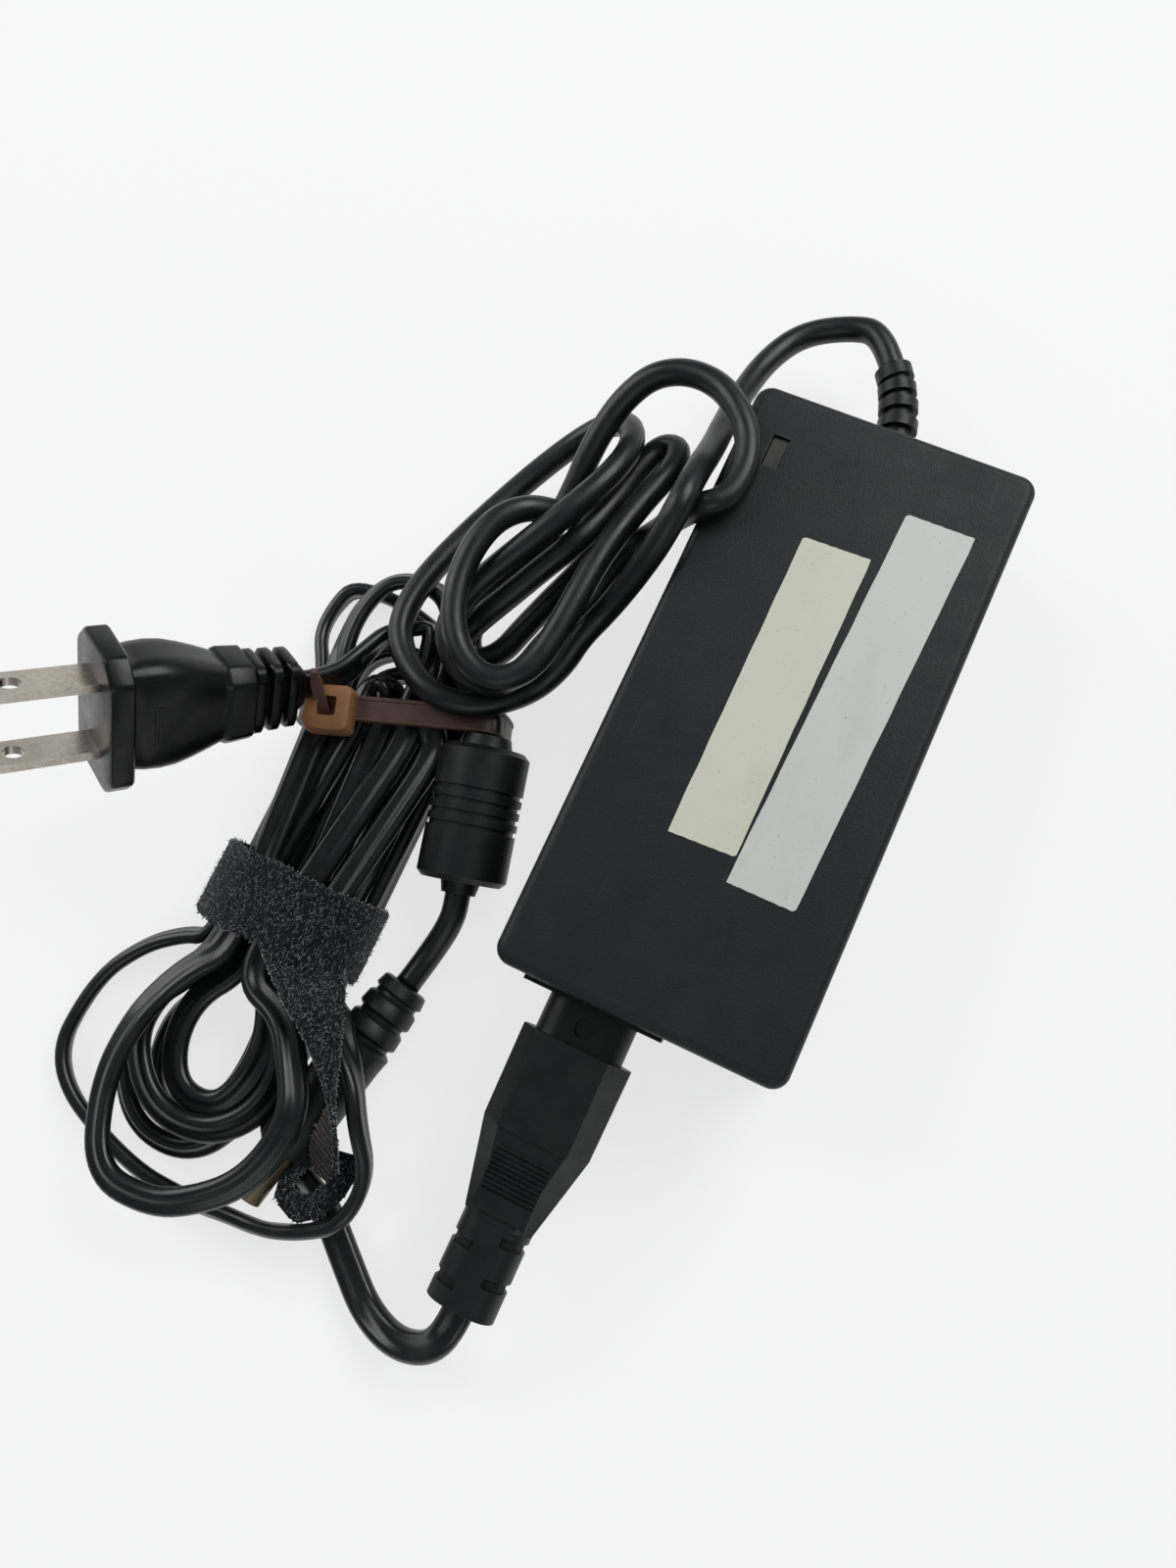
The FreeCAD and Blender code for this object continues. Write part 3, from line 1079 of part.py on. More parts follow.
outline(s, [("core_cone + (core_length - ferrite_length) / 2", "ferrite_bore / 2"),
            ("core_cone + (core_length - ferrite_length) / 2", "ferrite_outer / 2"),
            ("core_cone + (core_length + ferrite_length) / 2", "ferrite_outer / 2"),
            ("core_cone + (core_length + ferrite_length) / 2", "ferrite_bore / 2")])
revolve(ferrite, "ferrite_turned", s, "H_Axis")
ferrite.Placement = moulding.Placement

# Low-voltage plug, lying over the first run of the mains lead
dc_tail = Vector(-41.0, -66.0, 5.6)
dc_tip = Vector(-49.3, -109.6, 9.6)
dc_way = dc_tip - dc_tail
dc_way.normalize()
to_tip = [core_out, core_out + core_way * 5.0, dc_tail - dc_way * 6.0, dc_tail]
pieces, radii = tube_route(to_tip)
print("dc_cord_to_plug radii", [round(r, 1) for r in radii])
lead("dc_cord_to_plug", pieces, "round")
plug_frame = frame_at(dc_tail, dc_way, Vector(0, 0, 1).cross(dc_way))
dc_plug = body("dc_plug_body")
s = sketch(dc_plug, "dc_plug_profile", "XY_Plane")
outline(s, [("0", "0"), ("0", "4.4"), ("2.6", "4.9"), ("2.6", "3.2"), ("4.1", "3.2"), ("4.1", "5.0"),
            ("6.6", "5.2"), ("6.6", "3.2"), ("8.1", "3.2"), ("8.1", "5.3"), ("10.6", "5.4"), ("10.6", "3.4"),
            ("12.1", "3.4"), ("12.1", "plug_body / 2 + 0.1"), ("14.2", "plug_body / 2 + 0.1"),
            ("15.0", "plug_body / 2"), ("plug_length - 4", "plug_body / 2 - 0.2"),
            ("plug_length - 1", "plug_body / 2 - 0.6"), ("plug_length", "plug_body / 2 - 1.4"),
            ("plug_length", "tip_outer / 2 - tip_step"), ("plug_length - tip_root", "tip_outer / 2 - tip_step"),
            ("plug_length - tip_root", "0")])
revolve(dc_plug, "dc_plug_turned", s, "H_Axis")
dc_plug.Placement = plug_frame


def tube_part(name, length, outer, inner, root=None):
    """A tube of the plug from inside the moulding outwards, with its root narrower where one is given."""
    item = body(name)
    if root:
        s = sketch(item, name + "_root", "YZ_Plane", "plug_length - tip_root")
        circle(s, "0", "0", root)
        circle(s, "0", "0", inner)
        pad(item, name + "_root_pad", s, "tip_root")
    s = sketch(item, name + "_rings", "YZ_Plane", "plug_length" if root else "plug_length - tip_root")
    circle(s, "0", "0", outer)
    circle(s, "0", "0", inner)
    pad(item, name + "_pad", s, length if root else "tip_root + " + length)
    item.Placement = plug_frame
    return item


tube_part("dc_plug_sleeve", "tip_length", "tip_outer", "tip_outer - 2 * tip_wall", "tip_outer - 2 * tip_step")
tube_part("dc_plug_insulator", "tip_length - tip_recess", "tip_outer - 2 * tip_wall",
          "tip_bore + 2 * tip_contact_wall")
tube_part("dc_plug_contact", "tip_length - tip_recess", "tip_bore + 2 * tip_contact_wall", "tip_bore")

# Cable tie round the bundle, and its head
tie_across = way(math.cos(math.radians(18.5)), math.sin(math.radians(18.5)), 0)
tie_middle = Vector(-62.0, -22.2, 0)


def band(across, origin, ring, thick, width):
    """A closed band whose inner outline is given across and up."""
    along = Vector(0, 0, 1).cross(across)
    along.normalize()
    inner = Part.makePolygon([origin + across * a + Vector(0, 0, z) for a, z in ring + ring[:1]])
    face_in = Part.Face(inner)
    outer = inner.makeOffset2D(thick, 0, False, False, False)
    face = Part.Face(outer).cut(face_in)
    solid = face.extrude(along * width)
    solid.translate(along * (-width / 2))
    return solid


tie_ring = [(-20.3, 1.3), (20.4, 1.3), (20.4, 11.4), (18.2, 14.1), (-16.6, 14.1), (-20.3, 10.5)]
tie_shape = band(tie_across, tie_middle, tie_ring, values["tie_thick"], values["tie_width"])
head = Part.makeBox(7.6, 7.0, 3.8, Vector(0, 0, 0))
head_frame = Placement(tie_middle + tie_across * -7.6 + Vector(0, 0, 14.1 + values["tie_thick"]),
                       Rotation(Vector(0, 0, 1), 18.5))
head.translate(Vector(-3.8, -3.5, 0))
head.Placement = head_frame.multiply(head.Placement)
strip = Part.makeBox(values["tie_thick"], values["tie_width"] - 0.3, 9.0, Vector(-0.6, -2.25, 3.8))
strip.Placement = head_frame.multiply(strip.Placement)
tie = doc.addObject("Part::Feature", "cable_tie")
tie.Label = "cable_tie"
tie.Shape = tie_shape.fuse(head).fuse(strip).removeSplitter()
tie.Placement = Placement()

# Hook-and-loop strap: a band round the bundle, a leg over the loops and an eyelet
strap_ring = [(-15.6, 1.7), (15.8, 1.7), (15.8, 9.0), (10.4, 15.0), (6.4, 20.0), (-11.6, 20.0), (-15.6, 13.0)]
strap_shape = band(EAST, Vector(middle, -62.5, 0), strap_ring, values["strap_thick"], values["strap_width"])


def ribbon(stretch, thick):
    """A band through cross lines, each given by its two ends."""
    rings = []
    for i, (a, b) in enumerate(stretch):
        before = stretch[max(i - 1, 0)]
        after = stretch[min(i + 1, len(stretch) - 1)]
        along = Vector(*after[0]) + Vector(*after[1]) - Vector(*before[0]) - Vector(*before[1])
        a, b = Vector(*a), Vector(*b)
        up = (b - a).cross(along)
        up.normalize()
        up = up * (thick / 2)
        rings.append(Part.makePolygon([a + up, b + up, b - up, a - up, a + up]))
    return Part.makeLoft(rings, True, True)


leg = ribbon([((-71.0, -63.0, 22.1), (-60.5, -57.5, 22.1)), ((-70.0, -70.5, 22.1), (-56.0, -62.0, 21.9)),
              ((-60.0, -76.6, 21.8), (-47.5, -70.0, 21.2)), ((-51.5, -81.6, 21.4), (-46.0, -76.4, 20.8)),
              ((-47.0, -86.4, 21.0), (-44.6, -82.0, 19.6)), ((-43.4, -90.4, 19.0), (-43.4, -88.4, 13.8)),
              ((-39.4, -95.0, 15.2), (-40.4, -94.6, 10.2)), ((-36.4, -98.4, 7.4), (-40.8, -98.6, 7.2))],
             values["strap_thick"] - 0.3)
eye_outer = Part.makePolygon([Vector(*p) for p in ((-41.4, -97.2, 6.4), (-44.9, -104.6, 6.4), (-40.6, -110.2, 6.4),
                                                    (-34.6, -104.0, 6.4), (-36.0, -97.4, 6.4), (-41.4, -97.2, 6.4))])
eye_inner = Part.makePolygon([Vector(*p) for p in ((-40.8, -100.2, 6.4), (-42.4, -104.0, 6.4), (-40.5, -107.0, 6.4),
                                                    (-37.2, -103.4, 6.4), (-38.0, -100.0, 6.4), (-40.8, -100.2, 6.4))])
eye = Part.Face(eye_outer).cut(Part.Face(eye_inner)).extrude(Vector(0, 0, 1.2))
strap = doc.addObject("Part::Feature", "hook_loop_strap")
strap.Label = "hook_loop_strap"
strap.Shape = strap_shape.fuse(leg).fuse(eye)
strap.Placement = Placement()

NODES = ["top_cover", "bottom_cover", "light_pipe", "indicator_lamp", "ac_inlet_housing", "ac_inlet_pins",
         "circuit_board", "insulating_film", "mains_filter_capacitor", "fuse_body", "input_choke",
         "primary_heatsink", "power_transistor", "bulk_capacitor", "transformer_core", "transformer_winding",
         "secondary_heatsink", "output_rectifier", "output_capacitors", "dc_strain_relief",
         "mains_connector_body", "mains_connector_contacts", "mains_cord_tail", "mains_cord_hank",
         "mains_cord_to_plug", "mains_plug_body", "mains_plug_blades", "dc_cord_free", "dc_cord_hank",
         "ferrite_moulding", "ferrite_core", "dc_cord_to_plug", "dc_plug_body", "dc_plug_sleeve",
         "dc_plug_insulator", "dc_plug_contact", "cable_tie", "hook_loop_strap"]

doc.recompute()
for item in doc.Objects:
    for state in item.State:
        if state in ("Invalid", "Error"):
            raise RuntimeError("%s is %s" % (item.Name, state))
for name in NODES:
    shape = doc.getObject(name).Shape
    if shape.isNull() or not shape.isValid() or not shape.Solids:
        raise RuntimeError("%s has no valid solid" % name)
for name in NODES:
    doc.getObject(name).Shape.exportStep("parts/%s.step" % name)
print("wrote", len(NODES), "pieces")
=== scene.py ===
import math
import random
import bpy
import numpy as np
from mathutils import Matrix, Quaternion, Vector


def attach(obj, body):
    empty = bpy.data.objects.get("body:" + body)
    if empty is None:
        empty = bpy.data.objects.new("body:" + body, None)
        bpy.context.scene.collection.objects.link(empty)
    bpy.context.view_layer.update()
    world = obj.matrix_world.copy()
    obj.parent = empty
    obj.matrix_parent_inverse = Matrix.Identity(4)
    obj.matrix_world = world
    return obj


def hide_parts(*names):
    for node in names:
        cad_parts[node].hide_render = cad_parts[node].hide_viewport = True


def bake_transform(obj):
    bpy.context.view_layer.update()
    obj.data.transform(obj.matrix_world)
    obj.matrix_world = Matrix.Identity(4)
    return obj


# Laptop power adapter with its leads tied in hanks. Lengths here are in
# millimetres in the model's frame and are turned into metres in the meshes.

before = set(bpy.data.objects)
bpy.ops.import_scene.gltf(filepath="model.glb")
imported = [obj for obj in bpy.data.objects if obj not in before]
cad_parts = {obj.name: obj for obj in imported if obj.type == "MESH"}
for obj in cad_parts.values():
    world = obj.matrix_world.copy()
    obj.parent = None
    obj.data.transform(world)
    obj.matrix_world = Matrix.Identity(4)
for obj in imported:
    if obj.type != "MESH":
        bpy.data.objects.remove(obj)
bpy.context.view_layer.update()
MM = 0.001
scene = bpy.context.scene
scene.view_settings.view_transform = "Standard"


def vec(*p):
    return Vector(p)


def way(x, y, z):
    return Vector((x, y, z)).normalized()


def ease(t):
    t = max(0.0, min(1.0, t))
    return t * t * (3 - 2 * t)


# Camera: the place, turn and focal length that were solved from the photograph
EYE = vec(8.515, -50.314, 204.757)
VIEW_TURN = vec(2.88017, 0.62431, -0.20276)
FOCAL_PIXELS = 1130
PHOTO_HEIGHT = 1600
SENSOR_WIDTH = 36
seen = Quaternion(VIEW_TURN.normalized(), VIEW_TURN.length).to_matrix().transposed()
camera = bpy.data.objects.new("camera", bpy.data.cameras.new("camera"))
scene.collection.objects.link(camera)
camera.matrix_world = (Matrix.Translation(EYE * MM)
                       @ (seen @ Matrix.Diagonal((1, -1, -1))).to_4x4())
camera.data.sensor_width = SENSOR_WIDTH
camera.data.lens = FOCAL_PIXELS * SENSOR_WIDTH / PHOTO_HEIGHT
camera.data.clip_start = 0.005
camera.data.clip_end = 10
scene.camera = camera


# Materials
class Nodes:
    """A material's nodes, made with short calls."""

    def __init__(self, name):
        self.material = bpy.data.materials.new(name)
        self.material.use_nodes = True
        self.tree = self.material.node_tree
        self.shader = self.tree.nodes["Principled BSDF"]
        self.place = self.add("ShaderNodeTexCoord").outputs["Object"]

    def add(self, kind, **values):
        node = self.tree.nodes.new(kind)
        for key, value in values.items():
            setattr(node, key, value)
        return node

    def feed(self, socket, value):
        if isinstance(value, bpy.types.NodeSocket):
            self.tree.links.new(value, socket)
        elif isinstance(value, (tuple, list)) and len(value) == 3 and socket.type == "RGBA":
            socket.default_value = (*value, 1)
        else:
            socket.default_value = value

    def set(self, name, value):
        self.feed(self.shader.inputs[name], value)

    def noise(self, scale, detail=3.0, rough=0.55, place=None, warp=0.0):
        node = self.add("ShaderNodeTexNoise")
        self.feed(node.inputs["Vector"], place or self.place)
        self.feed(node.inputs["Scale"], scale)
        self.feed(node.inputs["Detail"], detail)
        self.feed(node.inputs["Roughness"], rough)
        self.feed(node.inputs["Distortion"], warp)
        return node.outputs["Fac"]

    def cells(self, scale):
        node = self.add("ShaderNodeTexVoronoi")
        self.feed(node.inputs["Vector"], self.place)
        self.feed(node.inputs["Scale"], scale)
        return node.outputs["Distance"]

    def span(self, value, low, high, to_low=0.0, to_high=1.0):
        """The value moved from one range to another and held at its ends."""
        node = self.add("ShaderNodeMapRange")
        for i, v in enumerate((value, low, high, to_low, to_high)):
            self.feed(node.inputs[i], v)
        return node.outputs[0]

    def math(self, kind, a, b=0.0):
        node = self.add("ShaderNodeMath", operation=kind)
        self.feed(node.inputs[0], a)
        self.feed(node.inputs[1], b)
        return node.outputs[0]

    def blend(self, share, a, b):
        node = self.add("ShaderNodeMix", data_type="RGBA")
        self.feed(node.inputs[0], share)
        self.feed(node.inputs[6], a)
        self.feed(node.inputs[7], b)
        return node.outputs[2]

    def stretch(self, y, turn):
        """Places scaled along Y and turned about Z, for marks that lie in one direction."""
        node = self.add("ShaderNodeMapping")
        self.feed(node.inputs["Vector"], self.place)
        node.inputs["Scale"].default_value = (1, y, 1)
        node.inputs["Rotation"].default_value = (0, 0, turn)
        return node.outputs[0]

    def bump(self, height, depth, strength=1.0, under=None):
        node = self.add("ShaderNodeBump")
        self.feed(node.inputs["Height"], height)
        node.inputs["Distance"].default_value = depth * MM
        node.inputs["Strength"].default_value = strength
        if under is not None:
            self.feed(node.inputs["Normal"], under)
        return node.outputs[0]

    def edge(self, radius):
        """Large where the surface bends sharply within a radius."""
        bevel = self.add("ShaderNodeBevel", samples=6)
        bevel.inputs["Radius"].default_value = radius * MM
        plain = self.add("ShaderNodeNewGeometry").outputs["Normal"]
        dot = self.add("ShaderNodeVectorMath", operation="DOT_PRODUCT")
        self.feed(dot.inputs[0], bevel.outputs[0])
        self.feed(dot.inputs[1], plain)
        return self.span(dot.outputs["Value"], 0.97, 0.75)


def shade(value):
    """A grey that leans a little to blue, as the black mouldings and leads do."""
    return (value * 0.9, value * 1.03, value * 1.06)


def case_plastic():
    n = Nodes("case_plastic")
    cloud = n.noise(60, 4)
    grain = n.noise(3600, 3, 0.6)
    pits = n.cells(2600)
    dark = n.blend(n.span(cloud, 0.35, 0.7), (0.0085, 0.0112, 0.0115), (0.0115, 0.0148, 0.015))
    dark = n.blend(n.span(grain, 0.5, 0.75, 0, 0.25), dark, (0.03, 0.035, 0.036))
    wear = n.math("MULTIPLY", n.edge(0.9), n.span(n.noise(420, 6, 0.7), 0.42, 0.62))
    scratch = n.span(n.noise(900, 2, 0.5, n.stretch(0.03, 0.5), 1.5), 0.68, 0.74)
    scratch = n.math("MULTIPLY", scratch, n.span(n.noise(90, 2), 0.5, 0.66))
    worn = n.math("MAXIMUM", n.math("MULTIPLY", wear, 0.5), n.math("MULTIPLY", scratch, 0.14))
    n.set("Base Color", n.blend(worn, dark, (0.10, 0.108, 0.11)))
    n.set("Roughness", n.span(n.noise(150, 4), 0.3, 0.75, 0.42, 0.56))
    n.set("Specular IOR Level", 0.3)
    n.set("Normal", n.bump(n.math("ADD", grain, n.math("MULTIPLY", pits, 0.6)), 0.05, 0.6))
    return n.material


def soft_plastic(name, base, rough, grain, depth, wear):
    n = Nodes(name)
    cloud = n.noise(140, 4)
    colour = n.blend(n.span(cloud, 0.3, 0.7), shade(base * 0.8), shade(base * 1.25))
    dust = n.span(n.noise(700, 5, 0.7), 0.62, 0.78, 0, 0.3)
    colour = n.blend(dust, colour, shade(0.035))
    edge = n.math("MULTIPLY", n.edge(0.35), n.span(n.noise(500, 4), 0.45, 0.65, 0, wear))
    n.set("Base Color", n.blend(edge, colour, shade(0.09)))
    n.set("Roughness", n.span(n.noise(260, 4), 0.3, 0.7, *rough))
    n.set("Specular IOR Level", 0.35)
    n.set("Normal", n.bump(n.noise(grain, 3), depth, 0.6))
    return n.material


def jacket(name, base, rough, coat):
    n = Nodes(name)
    colour = n.blend(n.span(n.noise(120, 4), 0.35, 0.7), shade(base * 0.75), shade(base * 1.3))
    scuff = n.span(n.noise(1300, 5, 0.75), 0.6, 0.72)
    scuff = n.math("MULTIPLY", scuff, n.span(n.noise(70, 3), 0.5, 0.7))
    n.set("Base Color", n.blend(n.math("MULTIPLY", scuff, 0.3), colour, shade(0.08)))
    n.set("Roughness", n.span(n.noise(240, 4), 0.3, 0.7, rough - 0.07, rough + 0.09))
    n.set("Specular IOR Level", 0.4)
    n.set("Coat Weight", coat)
    n.set("Coat Roughness", 0.22)
    n.set("Normal", n.bump(n.noise(330, 4), 0.05, 0.5, n.bump(n.noise(60, 2), 0.25, 0.35)))
    return n.material


def metal(name, tint, rough):
    n = Nodes(name)
    lines = n.noise(1500, 4, 0.6)
    stain = n.span(n.noise(180, 5, 0.7), 0.45, 0.75)
    n.set("Base Color", n.blend(n.math("MULTIPLY", stain, 0.55), tint,
                                (tint[0] * 0.55, tint[1] * 0.47, tint[2] * 0.38)))
    n.set("Metallic", 1.0)
    n.set("Roughness", n.span(lines, 0.25, 0.75, rough - 0.1, rough + 0.12))
    n.set("Normal", n.bump(lines, 0.02, 0.4))
    return n.material


def label_paper(name, tint, dirt):
    n = Nodes(name)
    paper = n.noise(900, 5, 0.65)
    smear = n.span(n.noise(95, 5, 0.65, n.stretch(0.35, 0.4)), 0.5, 0.75, 0, 0.5)
    colour = n.blend(smear, tint, dirt)
    specks = n.span(n.noise(1400, 2), 0.7, 0.74, 0, 0.55)
    colour = n.blend(specks, colour, (dirt[0] * 0.5, dirt[1] * 0.48, dirt[2] * 0.45))
    n.set("Base Color", colour)
    n.set("Roughness", n.span(n.noise(200, 3), 0.3, 0.7, 0.38, 0.55))
    n.set("Normal", n.bump(paper, 0.02, 0.5, n.bump(n.noise(110, 3), 0.12, 0.4)))
    return n.material


def nylon(name, light, dark, through, inside):
    n = Nodes(name)
    n.set("Base Color", n.blend(n.span(n.noise(200, 4), 0.35, 0.7), light, dark))
    n.set("Roughness", n.span(n.noise(300, 3), 0.3, 0.7, 0.38, 0.5))
    n.set("Specular IOR Level", 0.25)
    n.set("Transmission Weight", through)
    n.set("IOR", 1.5)
    n.set("Subsurface Weight", inside)
    n.set("Subsurface Radius", (0.003, 0.0015, 0.0008))
    n.set("Normal", n.bump(n.noise(500, 3), 0.03, 0.4))
    return n.material


def strap_cloth(name, base, light, fuzzy, ribs=0):
    n = Nodes(name)
    fibres = n.noise(2500, 3, 0.6, n.stretch(0.45, 0.6), 0.6)
    tufts = n.cells(2000)
    colour = n.blend(n.span(fibres, 0.52, 0.66), base, light)
    colour = n.blend(n.span(n.noise(110, 3), 0.45, 0.7, 0, 0.5), colour, (0.006, 0.010, 0.018))
    if ribs:
        # near-black bands between the ribs, which have no relief of their own: painted shade in the hollows
        # between ribs
        wave = n.add("ShaderNodeTexWave", bands_direction="DIAGONAL")
        n.feed(wave.inputs["Vector"], n.place)
        n.feed(wave.inputs["Scale"], ribs)
        n.feed(wave.inputs["Distortion"], 1.5)
        colour = n.blend(n.span(wave.outputs["Fac"], 0.3, 0.8, 0.75, 0), colour, (0.012, 0.011, 0.010))
    n.set("Base Color", colour)
    n.set("Roughness", 0.92)
    n.set("Sheen Weight", 0.18)
    n.set("Sheen Roughness", 0.45)
    n.set("Specular IOR Level", 0.2)
    n.set("Normal", n.bump(n.math("ADD", fibres, tufts), fuzzy, 0.9))
    return n.material


def lamp_lens():
    n = Nodes("lamp_lens")
    cloud = n.span(n.noise(500, 3), 0.35, 0.65)
    n.set("Base Color", n.blend(cloud, (0.03, 0.033, 0.028), (0.06, 0.06, 0.05)))
    n.set("Roughness", 0.3)
    n.set("Transmission Weight", 0.2)
    n.set("Normal", n.bump(n.noise(900, 2), 0.02, 0.5))
    return n.material


def plain_part(name, a, b, rough=0.5, scale=300, metallic=0.0):
    n = Nodes(name)
    n.set("Base Color", n.blend(n.span(n.noise(scale, 4), 0.35, 0.65), a, b))
    n.set("Metallic", metallic)
    n.set("Roughness", n.span(n.noise(scale * 2, 3), 0.3, 0.7, rough - 0.08, rough + 0.08))
    n.set("Normal", n.bump(n.noise(scale * 4, 3), 0.03, 0.5))
    return n.material


CASE = case_plastic()
MOULDING = soft_plastic("cord_moulding", base=0.006, rough=(0.36, 0.5), grain=1500, depth=0.03, wear=0.35)
INLET = soft_plastic("inlet_plastic", base=0.005, rough=(0.3, 0.42), grain=900, depth=0.015, wear=0.2)
TWIN = jacket("twin_jacket", base=0.0055, rough=0.3, coat=0.2)
ROUND = jacket("round_jacket", base=0.0065, rough=0.38, coat=0.08)
NICKEL = metal("nickel", (0.60, 0.55, 0.48), rough=0.3)
# a darker, browner copy of the nickel for the low-voltage plug's sleeve: painted shade with a painted brown
# reflection
SHADED_NICKEL = metal("plug_sleeve_shaded_nickel", (0.26, 0.21, 0.14), rough=0.4)
BRASS = metal("contact_brass", (0.72, 0.52, 0.28), rough=0.3)
TIE_HEAD = nylon("tie_nylon_head", (0.34, 0.165, 0.075), (0.24, 0.115, 0.055), through=0.15, inside=0.6)
TIE_BAND = nylon("tie_nylon_band", (0.10, 0.055, 0.042), (0.06, 0.034, 0.028), through=0.0, inside=0.15)
NAP = strap_cloth("strap_nap", (0.002, 0.0035, 0.005), (0.085, 0.10, 0.105), fuzzy=0.25)
WEAVE = strap_cloth("strap_weave", (0.07, 0.06, 0.054), (0.2, 0.175, 0.16), fuzzy=0.1, ribs=330)
YARN = plain_part("strap_yarn", (0.13, 0.15, 0.15), (0.32, 0.35, 0.34), 0.85, 900)
STUB = nylon("tie_nylon_end", (0.26, 0.14, 0.115), (0.17, 0.09, 0.075), through=0.35, inside=0.3)
PLUG = soft_plastic("plug_moulding", base=0.0026, rough=(0.26, 0.38), grain=1500, depth=0.02, wear=0.25)
# black darker than the moulding's, for the relief slots' filling: painted shade in the slots
SLOT_PAINTED_SHADE = soft_plastic("slot_painted_shade", base=0.002, rough=(0.6, 0.75), grain=900, depth=0.02, wear=0.1)
WHITE = label_paper("white_label", (0.60, 0.62, 0.585), (0.47, 0.47, 0.43))
CREAM = label_paper("cream_label", (0.63, 0.645, 0.53), (0.52, 0.50, 0.38))
LENS = lamp_lens()
BOARD = plain_part("board_green", (0.02, 0.10, 0.04), (0.03, 0.14, 0.05), 0.4)
FILM = plain_part("film_cream", (0.6, 0.57, 0.5), (0.68, 0.66, 0.6), 0.4)
YELLOW = plain_part("tape_yellow", (0.55, 0.36, 0.04), (0.65, 0.45, 0.07), 0.35)
FERRITE = plain_part("ferrite_grey", (0.03, 0.03, 0.033), (0.05, 0.05, 0.055), 0.6)
SHEET_METAL = plain_part("sink_aluminium", (0.62, 0.62, 0.64), (0.7, 0.7, 0.72), 0.35, 300, 1.0)
EPOXY = plain_part("package_black", (0.012, 0.012, 0.012), (0.02, 0.02, 0.02), 0.5)
SLEEVE_BLUE = plain_part("can_blue", (0.012, 0.025, 0.07), (0.02, 0.035, 0.09), 0.3)
CERAMIC = plain_part("fuse_brown", (0.12, 0.05, 0.02), (0.16, 0.07, 0.03), 0.3)

PAINT = {"top_cover": CASE, "bottom_cover": CASE, "light_pipe": LENS, "indicator_lamp": LENS,
         "ac_inlet_housing": INLET, "ac_inlet_pins": NICKEL, "circuit_board": BOARD,
         "insulating_film": FILM, "mains_filter_capacitor": YELLOW, "fuse_body": CERAMIC,
         "input_choke": FERRITE, "primary_heatsink": SHEET_METAL, "power_transistor": EPOXY,
         "bulk_capacitor": SLEEVE_BLUE, "transformer_core": FERRITE, "transformer_winding": YELLOW,
         "secondary_heatsink": SHEET_METAL, "output_rectifier": EPOXY,
         "output_capacitors": SLEEVE_BLUE, "mains_connector_contacts": BRASS, "ferrite_core": FERRITE,
         "dc_plug_insulator": EPOXY, "dc_plug_contact": BRASS, "dc_plug_sleeve": SHADED_NICKEL,
         "mains_plug_blades": NICKEL, "dc_strain_relief": MOULDING, "mains_connector_body": MOULDING,
         "mains_plug_body": MOULDING, "ferrite_moulding": MOULDING, "dc_plug_body": MOULDING,
         "cable_tie": TIE_BAND, "hook_loop_strap": NAP, "mains_cord_tail": TWIN,
         "mains_cord_hank": TWIN, "mains_cord_to_plug": TWIN, "dc_cord_free": ROUND,
         "dc_cord_hank": ROUND, "dc_cord_to_plug": ROUND}
for node, material in PAINT.items():
    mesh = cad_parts[node].data
    mesh.materials.clear()
    mesh.materials.append(material)


# Mesh building
def mesh_piece(name, points, faces, material, smooth=True, sharp=None):
    """A mesh object from points in millimetres."""
    mesh = bpy.data.meshes.new(name)
    mesh.from_pydata([tuple(c * MM for c in p) for p in points], [], faces)
    mesh.validate()
    mesh.materials.append(material)
    if smooth:
        mesh.shade_smooth()
        if sharp is not None:
            mesh.set_sharp_from_angle(angle=math.radians(sharp))
    piece = bpy.data.objects.new(name, mesh)
    scene.collection.objects.link(piece)
    return piece


def skin(rings, first=0, clockwise=False):
    """Outward faces of a tube with closed ends through rings of equal count, for
    rings that run anticlockwise as seen from its far end, or else clockwise."""
    count = len(rings[0])
    faces = []
    for i in range(len(rings) - 1):
        a, b = first + i * count, first + (i + 1) * count
        for j in range(count):
            k = (j + 1) % count
            faces.append((a + j, a + k, b + k, b + j))
    faces.append(tuple(range(first + count - 1, first - 1, -1)))
    last = first + (len(rings) - 1) * count
    faces.append(tuple(range(last, last + count)))
    if clockwise:
        faces = [face[:1] + face[:0:-1] for face in faces]
    return faces


def tube_piece(name, rings, material, sharp=40, clockwise=False):
    points = [p for r in rings for p in r]
    return mesh_piece(name, points, skin(rings, 0, clockwise), material, True, sharp)


def smoothed(points, order=3, fine=14):
    """The line of a NURBS spline with these control points."""
    curve = bpy.data.curves.new("route", "CURVE")
    curve.dimensions = "3D"
    spline = curve.splines.new("NURBS")
    spline.points.add(len(points) - 1)
    for knot, p in zip(spline.points, points):
        knot.co = (*p, 1)
    spline.order_u = order
    spline.use_endpoint_u = True
    spline.resolution_u = fine
    holder = bpy.data.objects.new("route", curve)
    mesh = bpy.data.meshes.new_from_object(holder)
    line = [v.co.copy() for v in mesh.vertices]
    bpy.data.objects.remove(holder)
    bpy.data.curves.remove(curve)
    bpy.data.meshes.remove(mesh)
    return line


def distances(line):
    """How far along the line each of its points is."""
    runs = [0.0]
    for a, b in zip(line, line[1:]):
        runs.append(runs[-1] + (b - a).length)
    return runs


def evenly(line, step):
    """The same line with its points a step apart, and how far along they are."""
    runs = distances(line)
    count = max(2, int(round(runs[-1] / step)))
    spots = np.linspace(0, runs[-1], count + 1)
    parts = [np.interp(spots, runs, [p[i] for p in line]) for i in range(3)]
    return [Vector(p) for p in zip(*parts)], spots


def headings(line):
    """The line's direction at each of its points."""
    found = []
    for i in range(len(line)):
        a, b = line[max(i - 1, 0)], line[min(i + 1, len(line) - 1)]
        found.append((b - a).normalized())
    return found


